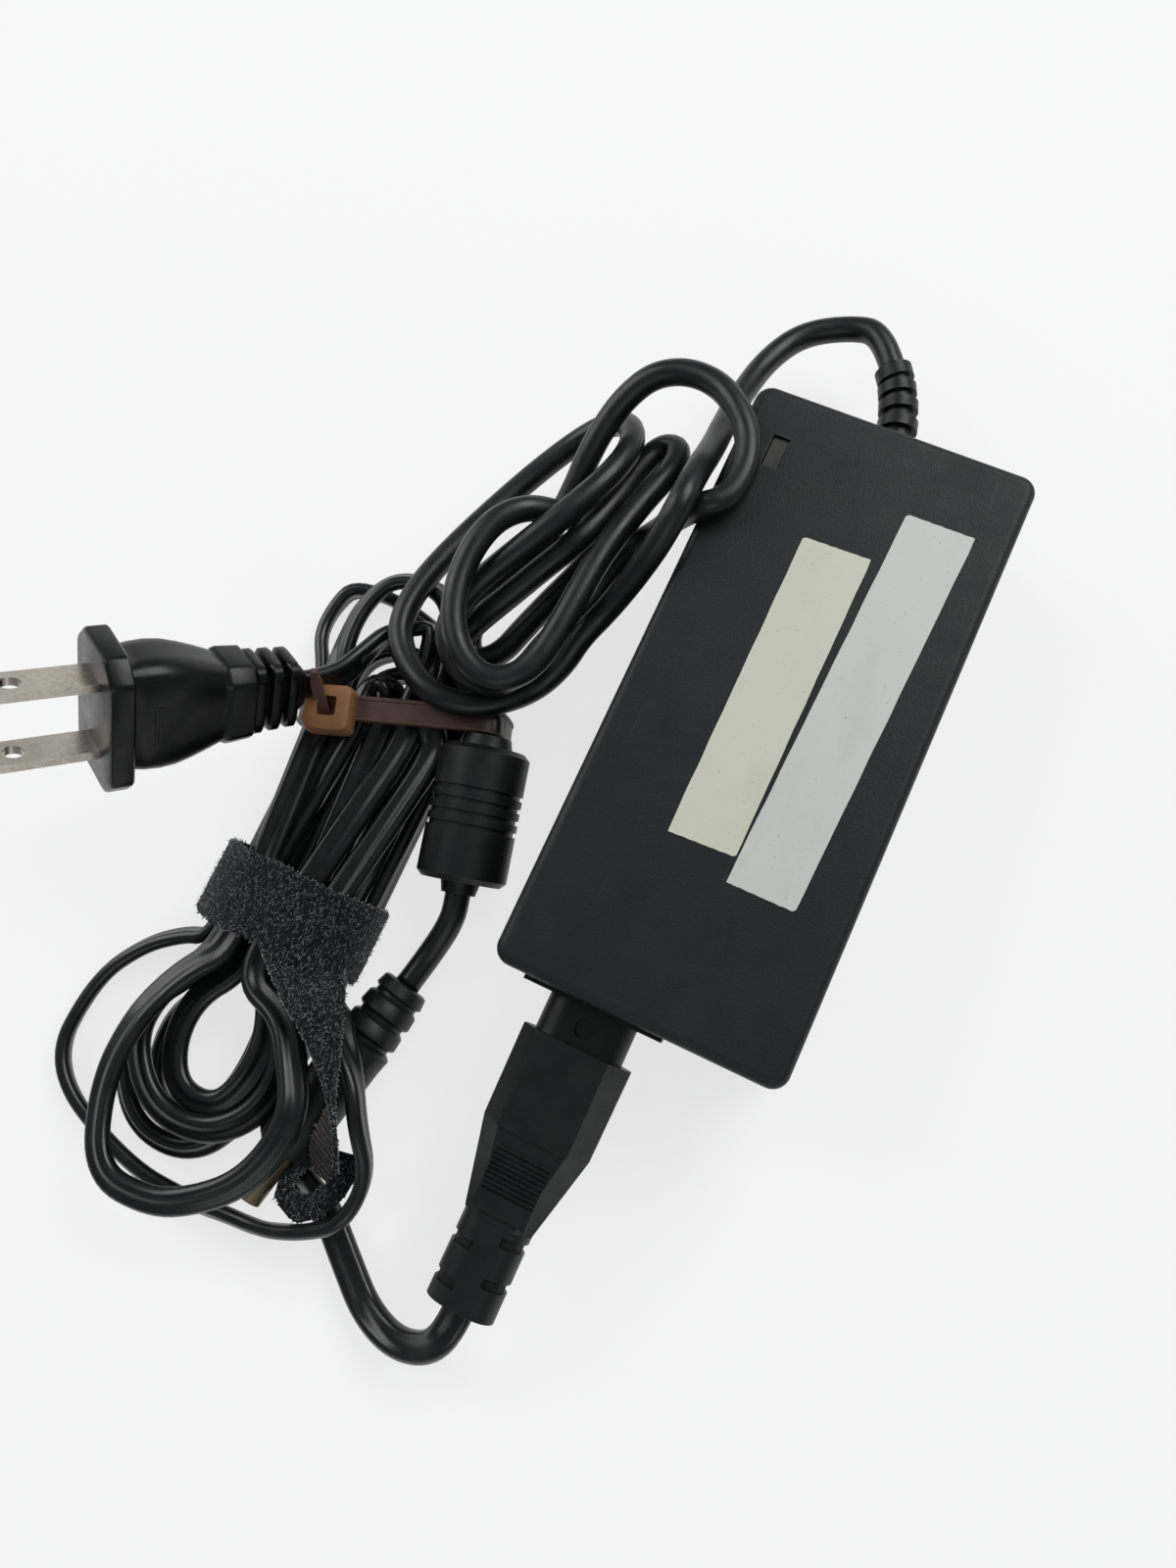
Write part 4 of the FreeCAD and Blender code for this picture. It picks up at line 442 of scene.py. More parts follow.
def round_sweep(line, radius, count=20):
    """Rings of a round tube along a line."""
    ways = headings(line)
    side = ways[0].orthogonal().normalized()
    rings = []
    for p, t in zip(line, ways):
        side = (side - t * side.dot(t)).normalized()
        up = t.cross(side)
        rings.append([p + (side * math.cos(a) + up * math.sin(a)) * radius
                      for a in (2 * math.pi * k / count for k in range(count))])
    return rings


def twin_outline(width=5.4, thick=2.7, lobe=9, groove=128):
    """Two wires side by side with a groove on both sides, as points across and
    through the lead; each wire's arc ends this many degrees from its outer side."""
    r = thick / 2
    c = width / 2 - r
    points = []
    for side in (1, -1):
        for k in range(lobe + 1):
            a = math.radians(2 * groove * k / lobe - groove)
            points.append((side * (c + r * math.cos(a)), side * r * math.sin(a)))
    return points


def twin_sweep(line, tilts):
    """Clockwise rings of a twin lead; tilt 0 stands it on edge and 90 lays it flat."""
    outline = twin_outline()
    rings = []
    for p, t, tilt in zip(line, headings(line), tilts):
        side = vec(0, 0, 1).cross(t).normalized()
        up = t.cross(side)
        a = math.radians(tilt)
        broad = up * math.cos(a) + side * math.sin(a)
        thin = side * math.cos(a) - up * math.sin(a)
        rings.append([p + broad * x + thin * y for x, y in outline])
    return rings


def length_of(line):
    return distances(line)[-1]


def meeting_points(stations):
    """Control points where the directions of neighbouring stations lead."""
    points = [stations[0][0]]
    for (a, ta), (b, tb) in zip(stations, stations[1:]):
        v = b - a
        k = 2 * (1 - ta.dot(tb))
        if k < 1e-6:
            d = v.dot(v) / (4 * v.dot(tb))
        else:
            s = v.dot(ta + tb)
            d = (-s + math.sqrt(s * s + k * v.dot(v))) / k
        points += [a + ta * d, b - tb * d]
    return points + [stations[-1][0]]


# Bare labels stuck on the top cover, with edges that are worn a little
CASE_TOP = 30.0
SIDE_POINTS = 24
EDGE_WEAR = 0.05


def label_sheet(name, corners, low, high, material):
    edge = []
    for i, a in enumerate(corners):
        b = corners[(i + 1) % len(corners)]
        inward = vec(a[1] - b[1], b[0] - a[0]).normalized()
        for k in range(SIDE_POINTS):
            t = (k + 0.03) / SIDE_POINTS if k else 0.006
            worn = EDGE_WEAR * math.sin(7.3 * i + 2.9 * k) * math.sin(1.7 * k)
            edge.append(vec(*a).lerp(vec(*b), t) + inward * worn)
    count = len(edge)
    points = [(p.x, p.y, z) for z in (low, high) for p in edge]
    faces = [tuple(range(count, 2 * count)), tuple(range(count - 1, -1, -1))]
    faces += [(j, (j + 1) % count, count + (j + 1) % count, count + j) for j in range(count)]
    sheet = mesh_piece(name, points, faces, material, False)
    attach(sheet, "root")


label_sheet("cream_label", [(-7.5, -24.6), (4.0, -24.1), (4.6, 30.5), (-7.2, 30.1)],
            CASE_TOP, CASE_TOP + 0.1, CREAM)
label_sheet("white_label", [(4.2, -28.3), (15.8, -28.3), (18.7, 40.4), (6.9, 40.3)],
            CASE_TOP + 0.02, CASE_TOP + 0.14, WHITE)

# Mains lead: seven turns. Each goes up the right of the waist, over the upper
# loop, down the left and round the lower loop.
NORTH, SOUTH, EAST, WEST = way(0, 1, 0), way(0, -1, 0), way(1, 0, 0), way(-1, 0, 0)
middle = -66.1
strap_y, tie_y = -71.0, -28.0
# Each run up the waist: distance from its middle, height and tilt at the strap, then at the tie
RIGHT = [((12.8, 4.6, 10), (12.8, 4.6, 0)), ((8.4, 8.9, 80), (9.6, 4.6, 0)),
         ((6.4, 4.6, 0), (6.4, 4.6, 0)), ((3.1, 4.6, 0), (3.1, 4.6, 0)),
         ((2.8, 8.9, 80), (0.0, 8.9, 84)), ((6.2, 11.9, 84), (11.2, 8.9, 96)),
         ((0.2, 12.0, 76), (5.6, 10.2, 88))]
# Each run down it, at the tie and then at the strap
LEFT = [((-12.7, 4.6, 0), (-12.7, 4.6, 10)), ((-9.5, 4.6, 0), (-9.5, 4.6, 0)),
        ((-6.3, 4.6, 0), (-6.3, 4.6, 0)), ((-3.0, 4.6, 20), (-2.8, 8.9, 80)),
        ((-5.6, 8.8, 84), (-8.4, 8.8, 96)), ((-11.2, 9.9, 100), (-6.0, 12.0, 84))]
# The loops between them: place, direction and tilt
UPPER = [
    [((-53.3, -19, 4.4), NORTH, 0), ((-83.5, -0.5, 2.8), WEST, 10), ((-88.6, -9.5, 2.8), SOUTH, 20),
     ((-83.2, -21, 3.8), way(0.45, -0.9, 0.05), 10)],
    [((-56.5, -20, 4.4), NORTH, 0), ((-68.3, -9.2, 3.4), WEST, 0), ((-77.4, -17.5, 3.4), SOUTH, 0)],
    [((-59.7, -20, 4.4), NORTH, 0), ((-66.3, -13.4, 4.0), WEST, 0), ((-72.8, -20, 4.3), SOUTH, 0)],
    [((-63.0, -21, 4.4), NORTH, 0), ((-66.0, -18.0, 4.3), WEST, 0), ((-69.1, -21, 4.4), SOUTH, 0)],
    [((-66.1, -21, 9.6), NORTH, 60), ((-69.0, -17.8, 10.2), WEST, 30), ((-71.8, -21, 9.4), SOUTH, 60)],
    [((-57.9, -18, 10.6), NORTH, 50), ((-72.2, 3.0, 9.4), WEST, 30), ((-80.2, -8.5, 9.6), SOUTH, 40)],
]
LOWER = [
    [((-86.2, -77, 3.4), way(-0.78, -0.62, 0), 20), ((-96.5, -96, 2.8), SOUTH, 24),
     ((-62, -116.6, 2.8), EAST, 24), ((-50.4, -115.3, 3.6), way(0.97, 0.13, 0.2), 20),
     ((-39.6, -111.4, 8.2), way(0.8, 0.45, 0.38), 8), ((-31.0, -100.5, 12.6), NORTH, -12),
     ((-37.8, -86, 15.6), way(-0.5, 0.85, 0.1), 0), ((-46, -77.2, 13.4), way(-0.66, 0.62, -0.4), 50)],
    [((-78.6, -78.5, 3.6), way(-0.45, -0.9, -0.03), 20), ((-85.6, -92, 2.8), SOUTH, 40),
     ((-70, -110, 2.8), EAST, 40), ((-58.0, -94, 2.8), NORTH, 20)],
    [((-74.6, -80, 3.6), way(-0.3, -0.95, -0.03), 20), ((-79.2, -92, 2.8), SOUTH, 30),
     ((-70, -104.4, 2.8), EAST, 30), ((-61.8, -90, 2.8), NORTH, 10)],
    [((-74.4, -88, 9.0), SOUTH, 66), ((-65.4, -99.5, 8.8), EAST, 60), ((-58.4, -89, 9.2), NORTH, 60)],
    [((-76.8, -79, 9.4), way(-0.42, -0.9, -0.03), 70), ((-81.3, -89, 9.0), SOUTH, 62),
     ((-66.5, -104, 9.0), EAST, 60), ((-53.6, -91, 9.4), NORTH, 56)],
    [((-76.4, -80, 13.2), way(-0.48, -0.87, 0.03), 66), ((-80.4, -95, 14.4), SOUTH, 62),
     ((-66, -115.8, 15.8), EAST, 62), ((-52, -109.0, 16.4), way(0.72, 0.69, 0.0), 60),
     ((-46.4, -95, 16.6), NORTH, 60), ((-52.5, -83, 15.2), way(-0.62, 0.78, -0.16), 70)],
]
TAIL_END = vec(-34.6, -109.0, 2.8)
TAIL_LAST = vec(-28.9, -113.8, 2.9)
stations = [(TAIL_END, (TAIL_END - TAIL_LAST).normalized()), (vec(-43.4, -104.6, 2.8), way(-0.9, 0.44, 0)),
            (vec(-50.8, -100.4, 2.8), way(-0.72, 0.69, 0)), (vec(-54.2, -89, 2.9), NORTH)]
tilts = [80, 70, 50, 10]


def add_run(start, start_y, end, end_y):
    """A straight run along the waist."""
    a, b = vec(middle + start[0], start_y, start[1]), vec(middle + end[0], end_y, end[1])
    ahead = (b - a).normalized()
    stations.extend([(a, ahead), (b, ahead)])
    tilts.extend([start[2], end[2]])


def add_loop(loop):
    for spot, ahead, lean in loop:
        stations.append((vec(*spot), ahead))
        tilts.append(lean)


for turn_no, (at_strap, at_tie) in enumerate(RIGHT):
    add_run(at_strap, strap_y, at_tie, tie_y)
    if turn_no == len(LEFT):
        break
    add_loop(UPPER[turn_no])
    at_tie, at_strap = LEFT[turn_no]
    add_run(at_tie, tie_y, at_strap, strap_y)
    add_loop(LOWER[turn_no])
hank_end = vec(-69.3, -6.3, 10.2)
hank_turn = vec(-73.0, -8.6, 10.6)
stations += [(vec(-62.0, -18.5, 11.0), NORTH), (hank_end, (hank_turn - hank_end).normalized())]
tilts += [60, 20]
plug_face = vec(-97.5, -46.2, 42.9)
plug_way = way(-0.534, -0.578, 0.617)
plug_row = way(-0.001, 0.730, 0.683)
PLUG_LENGTH = 35.0
plug_tail = plug_face - plug_way * PLUG_LENGTH


def with_tilts(points, lean, step=1.3):
    """A smooth line through control points, with the tilt that goes with each sample."""
    line = smoothed(points)
    turned = [p[0] for p in smoothed([vec(t, 0, 0) for t in lean])]
    even, spots = evenly(line, step)
    return even, list(np.interp(spots, distances(line), turned))


route = meeting_points(stations)
lean = [tilts[0]] + [t for pair in zip(tilts, tilts[1:]) for t in pair] + [tilts[-1]]
route += [hank_turn, vec(-74.2, -14.6, 12.9), plug_tail - plug_way * 7.2, plug_tail]
lean += [10, 0, -30, -30]
hank_line, tilt = with_tilts(route, lean)
hank = tube_piece("mains_lead_hank", twin_sweep(hank_line, tilt), TWIN, 60, True)
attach(hank, "root")
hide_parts("mains_cord_hank", "mains_cord_to_plug")

# Free end of the mains lead, from the connector's relief to the start of the hank
relief_end = vec(-7.5, -107.0, 15.0)
tail_points = [relief_end, vec(-7.5, -111.6, 15.0), vec(-10.0, -116.6, 11.4), vec(-15.8, -119.4, 7.2),
               vec(-22.8, -118.2, 4.0), TAIL_LAST, TAIL_END]
tail_line, tilt = with_tilts(tail_points, [90, 90, 84, 82, 80, 80, 80])
tail = tube_piece("mains_lead_tail", twin_sweep(tail_line, tilt), TWIN, 60, True)
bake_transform(tail)
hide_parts("mains_cord_tail")

# Low-voltage lead: free stretch over the upper loop's leg, three and a half turns
# drawn after the photograph, ferrite and plug
LEAD_RADIUS = 2.33
gland_end = vec(-6.2, 74.0, 15.0)
gland_way = way(-0.57, 0.82, 0)
core_top = vec(-45.3, -21.9, 11.3)
core_low = vec(-39.6, -45.6, 8.6)
core_way = (core_low - core_top).normalized()
# the lead goes into the ferrite's moulding and comes out of it here
core_in = core_top - core_way * 2.6
core_out = core_in + core_way * 28.9
FREE = [(-17.3, 80.7, 13), (-25.1, 76.5, 12.5), (-29, 68.6, 13.2), (-30.1, 58.5, 16),
        (-29.6, 49.5, 20.5), (-28.6, 40.8, 26), (-27.8, 33.2, 33), (-27.2, 25.6, 36.8),
        (-28.3, 19, 33.2), (-31, 13, 27.4)]
FIRST_TURN = [(-34.0, 7.6, 22.2), (-36.6, 2.4, 20.0), (-38.0, -2.8, 17.2), (-40.8, -7.8, 14.8),
              (-44.7, -12.6, 15.7), (-50.2, -16.7, 16.8), (-57.7, -17.3, 17.5), (-64.5, -13.9, 16.3),
              (-69.1, -8.9, 15.4), (-70.5, -2.5, 14.5), (-69.6, 5.5, 13.3), (-67.4, 14.4, 11.8),
              (-64.4, 23.5, 10.7), (-60.7, 32.7, 10.2), (-56.2, 40.6, 11), (-51.2, 45, 13.8),
              (-45.9, 44.2, 18.1), (-42.6, 38.2, 22.6), (-42.9, 31.1, 25.4), (-45.2, 24.2, 26.5),
              (-48.4, 17.5, 26.5), (-52.2, 11.5, 24.9), (-55.8, 5.9, 23.1), (-58.8, 0.3, 21.1),
              (-59.5, -5.6, 20.6), (-56.6, -10.1, 19.6), (-51.7, -12.4, 19.5), (-46.4, -11.8, 20),
              (-43.1, -7.4, 20), (-42.4, -0, 17.5)]
SECOND_TURN = [(-39.5, 8.2, 15.6), (-38.2, 16.7, 15.4), (-35.9, 23.6, 16.1), (-32.6, 26.2, 18.6),
               (-28.9, 27, 26.2), (-24.6, 27.2, 33.4), (-20.9, 30.2, 33), (-20.4, 37, 32.8),
               (-22.4, 42.4, 32.8), (-26.2, 46.4, 32.7), (-31.2, 50, 31.6), (-37.7, 50.9, 30.5),
               (-43.2, 48.5, 29.4), (-46.8, 43.8, 26.6), (-48.6, 38.6, 24.2), (-49.5, 33.4, 22),
               (-49.8, 28.8, 19.8), (-50.5, 24.1, 17.4), (-51.5, 17.9, 16.7), (-54.2, 11.7, 15.2),
               (-56.8, 5.2, 14), (-58.3, -0.6, 12.2), (-57.8, -5.0, 10.4), (-54.6, -6.8, 9.8),
               (-51.2, -3.4, 10.0), (-49.4, 2.0, 10.8), (-47.2, 9.0, 10.6), (-44.8, 15.4, 10.8),
               (-42.9, 20.3, 12.2), (-43.3, 23.4, 14.8)]
LAST_TURNS = [(-46.6, 22.8, 18.4), (-50.5, 21, 22.8), (-54.3, 18.7, 26), (-57.7, 14.4, 27.2),
              (-59.2, 8.2, 27.5), (-58.9, 1.4, 27.4), (-57, -5.1, 27), (-53.2, -10.2, 26.7),
              (-48.1, -12.8, 26.6), (-43.6, -11.7, 26.5), (-40.2, -7.3, 26.5), (-39.2, -0.5, 26.4),
              (-38.8, 7.2, 26.3), (-38.4, 15.2, 25.8), (-37.2, 23.2, 24.6), (-36.0, 30.2, 23.0),
              (-34.4, 38.0, 20.6), (-35.6, 43.0, 18.6), (-39.6, 42.8, 16.6), (-41.2, 36.8, 17.2),
              (-42, 27.2, 20.4), (-44, 17.6, 22.8), (-48.1, 11.3, 20.9), (-51.9, 4.9, 19.1),
              (-55.9, -1.2, 16.8), (-58.2, -5.2, 14.6), (-56, -10.6, 12.9), (-51.6, -13.2, 12.2),
              (-46.8, -15.4, 11.9)]
route = [gland_end, gland_end + gland_way * 8.0]
route += [vec(*p) for p in FREE + FIRST_TURN + SECOND_TURN + LAST_TURNS]
lead_line, spots = evenly(smoothed(route + [core_in]), 1.0)
lead = tube_piece("low_voltage_lead", round_sweep(lead_line, LEAD_RADIUS), ROUND, None)
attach(lead, "root")
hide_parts("dc_cord_free", "dc_cord_hank")

dc_tail = vec(-41.0, -66.0, 5.6)
dc_tip = vec(-49.3, -109.6, 9.6)
dc_way = (dc_tip - dc_tail).normalized()
end_points = [core_out - core_way * 13.0, core_out, core_out + core_way * 5.0,
              dc_tail - dc_way * 6.0, dc_tail]
lead_end_line, spots = evenly(smoothed(end_points), 1.2)
lead_end = tube_piece("low_voltage_lead_end", round_sweep(lead_end_line, LEAD_RADIUS), ROUND, None)
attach(lead_end, "root")
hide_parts("dc_cord_to_plug")

# Mains plug: flange, bulging body, collar and three ribs, in its own frame. Each
# section's row starts with its place behind the plug's face, as a negative number.
plug_up = plug_way.cross(plug_row)
FLANGE = [(0.0, 12.1, 8.0, 3.2), (-0.2, 12.5, 8.4, 3.35), (-0.6, 12.7, 8.6, 3.4),
          (-3.5, 12.7, 8.6, 3.4), (-3.85, 12.45, 8.35, 3.35), (-4.0, 12.0, 7.9, 3.2)]
BODY = [(-3.6, 10.3, 6.2, 5.0), (-4.6, 9.9, 6.0, 4.6), (-6.5, 10.25, 6.45, 4.2), (-9.0, 10.4, 6.7, 4.0),
        (-11.5, 10.2, 6.75, 3.8), (-14.0, 9.6, 6.5, 3.6), (-16.5, 8.8, 6.1, 3.5), (-18.5, 8.0, 5.7, 3.5),
        (-20.0, 7.3, 5.5, 3.6), (-21.5, 7.0, 5.3, 3.8)]
COLLAR = [(-19.4, 7.0, 5.4, 1.8), (-20.0, 7.5, 5.9, 2.2), (-20.6, 7.7, 6.1, 2.4), (-24.4, 7.5, 5.9, 2.4),
          (-24.9, 7.0, 5.4, 2.0)]
STEM = [(-24.0, 4.9, 3.8, 3.0), (1 - PLUG_LENGTH, 4.3, 3.3, 3.0), (-PLUG_LENGTH, 3.6, 2.8, 3.0)]
# A rib's rows: place along it, how far inside its full size, squareness
RIB = [(2.2, 0.7, 4.2), (2.0, 0.15, 4.6), (1.75, 0, 5.0), (0.4, 0, 5.0), (0.15, 0.15, 4.6), (0, 0.7, 4.2)]
GRIP_LINE = [(-0.13, -0.3), (-0.13, 0.13), (0.13, 0.13), (0.13, -0.3)]


def on_plug(x, y, z):
    return plug_face + plug_way * x + plug_row * y + plug_up * z


def rounded_box(half_y, half_z, power, crease=0.0, count=64):
    """A section between an ellipse and a rectangle, which grows squarer with its
    power, and has a crease of some depth at both its sides."""
    points = []
    for k in range(count):
        a = 2 * math.pi * k / count
        c, s = math.cos(a), math.sin(a)
        y = math.copysign(abs(c) ** (2 / power), c) * half_y
        z = math.copysign(abs(s) ** (2 / power), s) * half_z
        if crease and k % (count // 2) == 0:
            y -= math.copysign(crease, y)
        points.append((y, z))
    return points


def creased_box(half_y, half_z, power):
    return rounded_box(half_y, half_z, power, 0.16)


def cut_corners(half_y, half_z, cut, turn=0.7):
    """A rectangle with its corners cut off and every corner rounded a little."""
    y, z = half_y, half_z
    ring = [(y, -z + cut), (y, z - cut), (y - cut, z), (-y + cut, z),
            (-y, z - cut), (-y, -z + cut), (-y + cut, -z), (y - cut, -z)]
    points = []
    for i, p in enumerate(ring):
        p, a, b = Vector(p), Vector(ring[i - 1]), Vector(ring[(i + 1) % 8])
        start = p + (a - p).normalized() * turn
        end = p + (b - p).normalized() * turn
        for t in (0, 0.33, 0.67, 1):
            points.append(tuple(start.lerp(p, t).lerp(p.lerp(end, t), t)))
    return points


def plug_stack(rows, outline):
    """Rings of the plug from its rows, from the lead's end to the face."""
    return [[on_plug(row[0], y, z) for y, z in outline(*row[1:])] for row in reversed(rows)]


def plug_body():
    parts = [plug_stack(FLANGE, cut_corners), plug_stack(BODY, creased_box),
             plug_stack(COLLAR, cut_corners), plug_stack(STEM, rounded_box)]
    for i in range(3):
        back, half_y, half_z = -27.0 - 3.05 * i, 6.8 - 0.15 * i, 4.9 - 0.12 * i
        parts.append(plug_stack([(back + x, half_y - inset, half_z - inset, power)
                                 for x, inset, power in RIB], rounded_box))
    # fine grip lines on both broad faces
    for side in (-1, 1):
        for k in range(15):
            x = -7.6 - 0.55 * k
            half = 3.7 - 0.08 * k
            top = 6.6 - 0.14 * max(0.0, -12 - x)
            parts.append([[on_plug(x + dx, y, side * (top + dz)) for dx, dz in GRIP_LINE[::side]]
                          for y in (-half, half)])
    points, faces = [], []
    for rings in parts:
        faces += skin(rings, len(points))
        points += [p for r in rings for p in r]
    return mesh_piece("mains_plug_moulding", points, faces, PLUG, True, 35)


plug_moulding = plug_body()
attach(plug_moulding, "root")
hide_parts("mains_plug_body")

# Cable tie: a band round the bundle, a head with a window and the cut end through it
TIE_TURN = math.radians(18.5)
tie_across = vec(math.cos(TIE_TURN), math.sin(TIE_TURN), 0)
tie_along = vec(-tie_across.y, tie_across.x, 0)
tie_middle = vec(-62.0, -22.2, 0)
TIE_RING = [(-20.3, 1.3), (17.8, 1.3), (17.8, 11.4), (15.8, 14.1), (-16.6, 14.1), (-20.3, 10.5)]
# The band's section: along the lead, outward from the bundle
TIE_SECTION = [(-2.4, 0.25), (-2.2, 0.0), (2.2, 0.0), (2.4, 0.25), (2.4, 0.95), (2.2, 1.2), (1.7, 1.2),
               (1.6, 1.0), (-1.6, 1.0), (-1.7, 1.2), (-2.2, 1.2), (-2.4, 0.95)]
head_at, head_low = -12.4, 14.3
HEAD = [(4.3, -4.3), (4.3, 4.3), (-4.3, 4.3), (-4.3, -4.3)]
WINDOW = [(2.2, -2.1), (2.2, 2.5), (-2.2, 2.5), (-2.2, -2.1)]


def on_tie(a, l, z):
    return tie_middle + tie_across * a + tie_along * l + vec(0, 0, z)


def ring_line(corners, turn, steps=6):
    """A closed outline with its corners rounded by curves that start a length before each."""
    points = []
    for i, p in enumerate(corners):
        p, a, b = Vector(p), Vector(corners[i - 1]), Vector(corners[(i + 1) % len(corners)])
        start = p + (a - p).normalized() * min(turn, (a - p).length * 0.48)
        end = p + (b - p).normalized() * min(turn, (b - p).length * 0.48)
        for k in range(steps + 1):
            t = k / steps
            points.append(start.lerp(p, t).lerp(p.lerp(end, t), t))
    return points


def outward(points):
    """Unit normals of a closed outline that runs anticlockwise."""
    found = []
    for i in range(len(points)):
        d = points[(i + 1) % len(points)] - points[i - 1]
        found.append(Vector((d[1], -d[0])).normalized())
    return found


def tie_loop():
    """The closed band, whose section follows a ring that stands across the bundle."""
    centre = ring_line(TIE_RING, 3.5)
    points, faces = [], []
    for p, n in zip(centre, outward(centre)):
        points += [on_tie(p[0] + n[0] * out, along, p[1] + n[1] * out) for along, out in TIE_SECTION]
    total, count = len(centre), len(TIE_SECTION)
    for i in range(total):
        a, b = i * count, (i + 1) % total * count
        for j in range(count):
            k = (j + 1) % count
            faces.append((a + j, b + j, b + k, a + k))
    return mesh_piece("cable_tie_band", points, faces, TIE_BAND, True, 45)


def tie_head():
    """A rounded frame with a stepped window."""
    rings = []
    for ring, inset, z, turn in ((HEAD, 0.5, 0.0, 1.4), (HEAD, 0.0, 0.6, 1.4), (HEAD, 0.0, 4.0, 1.4),
                                 (HEAD, 0.25, 4.6, 1.4), (HEAD, 0.9, 4.9, 1.2), (WINDOW, -0.5, 4.9, 0.5),
                                 (WINDOW, 0.0, 4.5, 0.4), (WINDOW, 0.0, 1.6, 0.4)):
        corners = [(a - math.copysign(inset, a), l - math.copysign(inset, l)) for a, l in ring]
        rings.append([on_tie(head_at + q[0], q[1] - 1.2, head_low + z) for q in ring_line(corners, turn)])
    return tube_piece("cable_tie_head", rings, TIE_HEAD, 40)


def tie_end():
    """The cut end of the band, which leans up out of the head's window."""
    rings = []
    for k in range(9):
        t = k / 8
        place = on_tie(head_at - 1.3 - 0.4 * t + 0.5 * t * t, -1.8 + 5.4 * t, head_low + 1.6 + 8.6 * t)
        half = 1.05 - 0.5 * ease((t - 0.75) / 0.25)
        section = [(-half, -0.5), (half, -0.25), (half, 0.35), (-half, 0.5)]
        rings.append([place + tie_across * a + tie_along * b for a, b in section])
    return tube_piece("cable_tie_end", rings, STUB, 40)


tie_band = tie_loop()
for piece in (tie_band, tie_head(), tie_end()):
    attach(piece, "root")
    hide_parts("cable_tie")

# Filling of the connector's relief slots, which are shallow in the photographed part, in a
# black darker than the moulding's, which is painted shade in the slots: a slot's outline across
# and up, repeated on either side at four places along
slots_start = vec(-7.5, -92.4, 15.0)
SLOT = [(2.0, -3.5), (3.2, -3.5), (4.6, -2.6), (5.4, -1.1), (5.4, 1.1), (4.6, 2.6), (3.2, 3.5), (2.0, 3.5)]
points, faces = [], []
for side, along in ((1, 1.3), (-1, 3.8), (1, 8.0), (-1, 10.2)):
    near, far = [[slots_start + vec(side * x, -along - inset, side * z) for x, z in SLOT]
                 for inset in (0.03, 1.57)]
    faces += skin([near, far], len(points))
    points += near + far
slot_fill = mesh_piece("relief_slot_fill_painted_shade", points, faces, SLOT_PAINTED_SHADE, False)
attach(slot_fill, "mains_connector")

# Low-voltage plug's moulding: ribs with narrow slots behind a plain grip, as
# rows of place along the plug and radius, and at last the bore for its sleeve
BARREL = [(0.0, 2.5), (0.0, 3.9), (0.3, 4.4), (2.3, 4.8), (2.6, 4.5), (2.8, 4.15), (3.4, 4.15), (3.7, 4.6),
          (4.1, 5.0), (6.4, 5.2), (6.8, 4.8), (7.0, 4.35), (7.6, 4.35), (7.9, 4.8), (8.3, 5.2), (10.6, 5.4),
          (11.0, 5.0), (11.2, 4.5), (11.8, 4.5), (12.1, 5.0), (12.6, 5.6), (15.0, 5.4), (31.0, 5.2),
          (34.0, 4.8), (34.8, 4.4), (35.0, 3.9), (35.0, 2.9), (29.0, 2.9), (29.0, 2.4)]
BARREL_SIDES = 40
barrel_side = dc_way.cross(vec(0, 0, 1)).normalized()
barrel_up = dc_way.cross(barrel_side)
angles = [2 * math.pi * k / BARREL_SIDES for k in range(BARREL_SIDES)]
rings = [[dc_tail + dc_way * a + barrel_side * (r * math.cos(t)) + barrel_up * (r * math.sin(t))
          for t in angles] for a, r in BARREL]
barrel = tube_piece("barrel_plug_moulding", rings, MOULDING, 40)
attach(barrel, "root")
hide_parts("dc_plug_body")

# Hook-and-loop strap: a napped band round the bundle, a flap over the loops that
# turns its ribbed back out at its end, and a tab with a slot round the connector's lead
chance = random.Random(11)
CLOTH_STEP = 0.45
FRAY = 0.65
yarn_points, yarn_faces = [], []


def triangle(centre, side, up, radius):
    return [centre + (side * math.cos(a) + up * math.sin(a)) * radius
            for a in (2 * math.pi * k / 3 for k in range(3))]


def fibre(root, ahead, length, radius=0.14):
    """One thin and bent spike of yarn."""
    side = ahead.orthogonal().normalized()
    up = ahead.cross(side)
    first = len(yarn_points)
    bend = Vector([chance.uniform(-0.3, 0.3) for i in range(3)]) * length
    yarn_points.extend(triangle(root, side, up, radius))
    yarn_points.extend(triangle(root + ahead * length * 0.6 + bend * 0.4, side, up, radius * 0.8))
    yarn_points.append(root + ahead * length + bend)
    for k in range(3):
        m = (k + 1) % 3
        yarn_faces.append((first + k, first + m, first + 3 + m, first + 3 + k))
        yarn_faces.append((first + 3 + k, first + 3 + m, first + 6))
    yarn_faces.append((first + 2, first + 1, first))


def row_normals(rows, closed):
    """Outward normals of a cloth that is given as rows of points across it."""
    total, wide = len(rows), len(rows[0])
    normals = []
    for i, row in enumerate(rows):
        before = rows[i - 1] if closed or i else row
        after = rows[(i + 1) % total] if closed or i < total - 1 else row
        over = [row[min(j + 1, wide - 1)] - row[max(j - 1, 0)] for j in range(wide)]
        normals.append([over[j].cross(after[j] - before[j]).normalized() for j in range(wide)])
    return normals


def frayed(p, n, out, thick, share):
    """A ragged point of a cloth's edge, where some of the points carry a fibre."""
    p = p + out * chance.uniform(-0.3, 0.25) * FRAY - n * 0.25
    if chance.random() < 0.8 * share:
        lay = (out * 0.8 + n * chance.uniform(-0.1, 0.8)).normalized()
        fibre(p + n * thick * 0.8, lay, chance.uniform(0.2, 0.65))
    return p


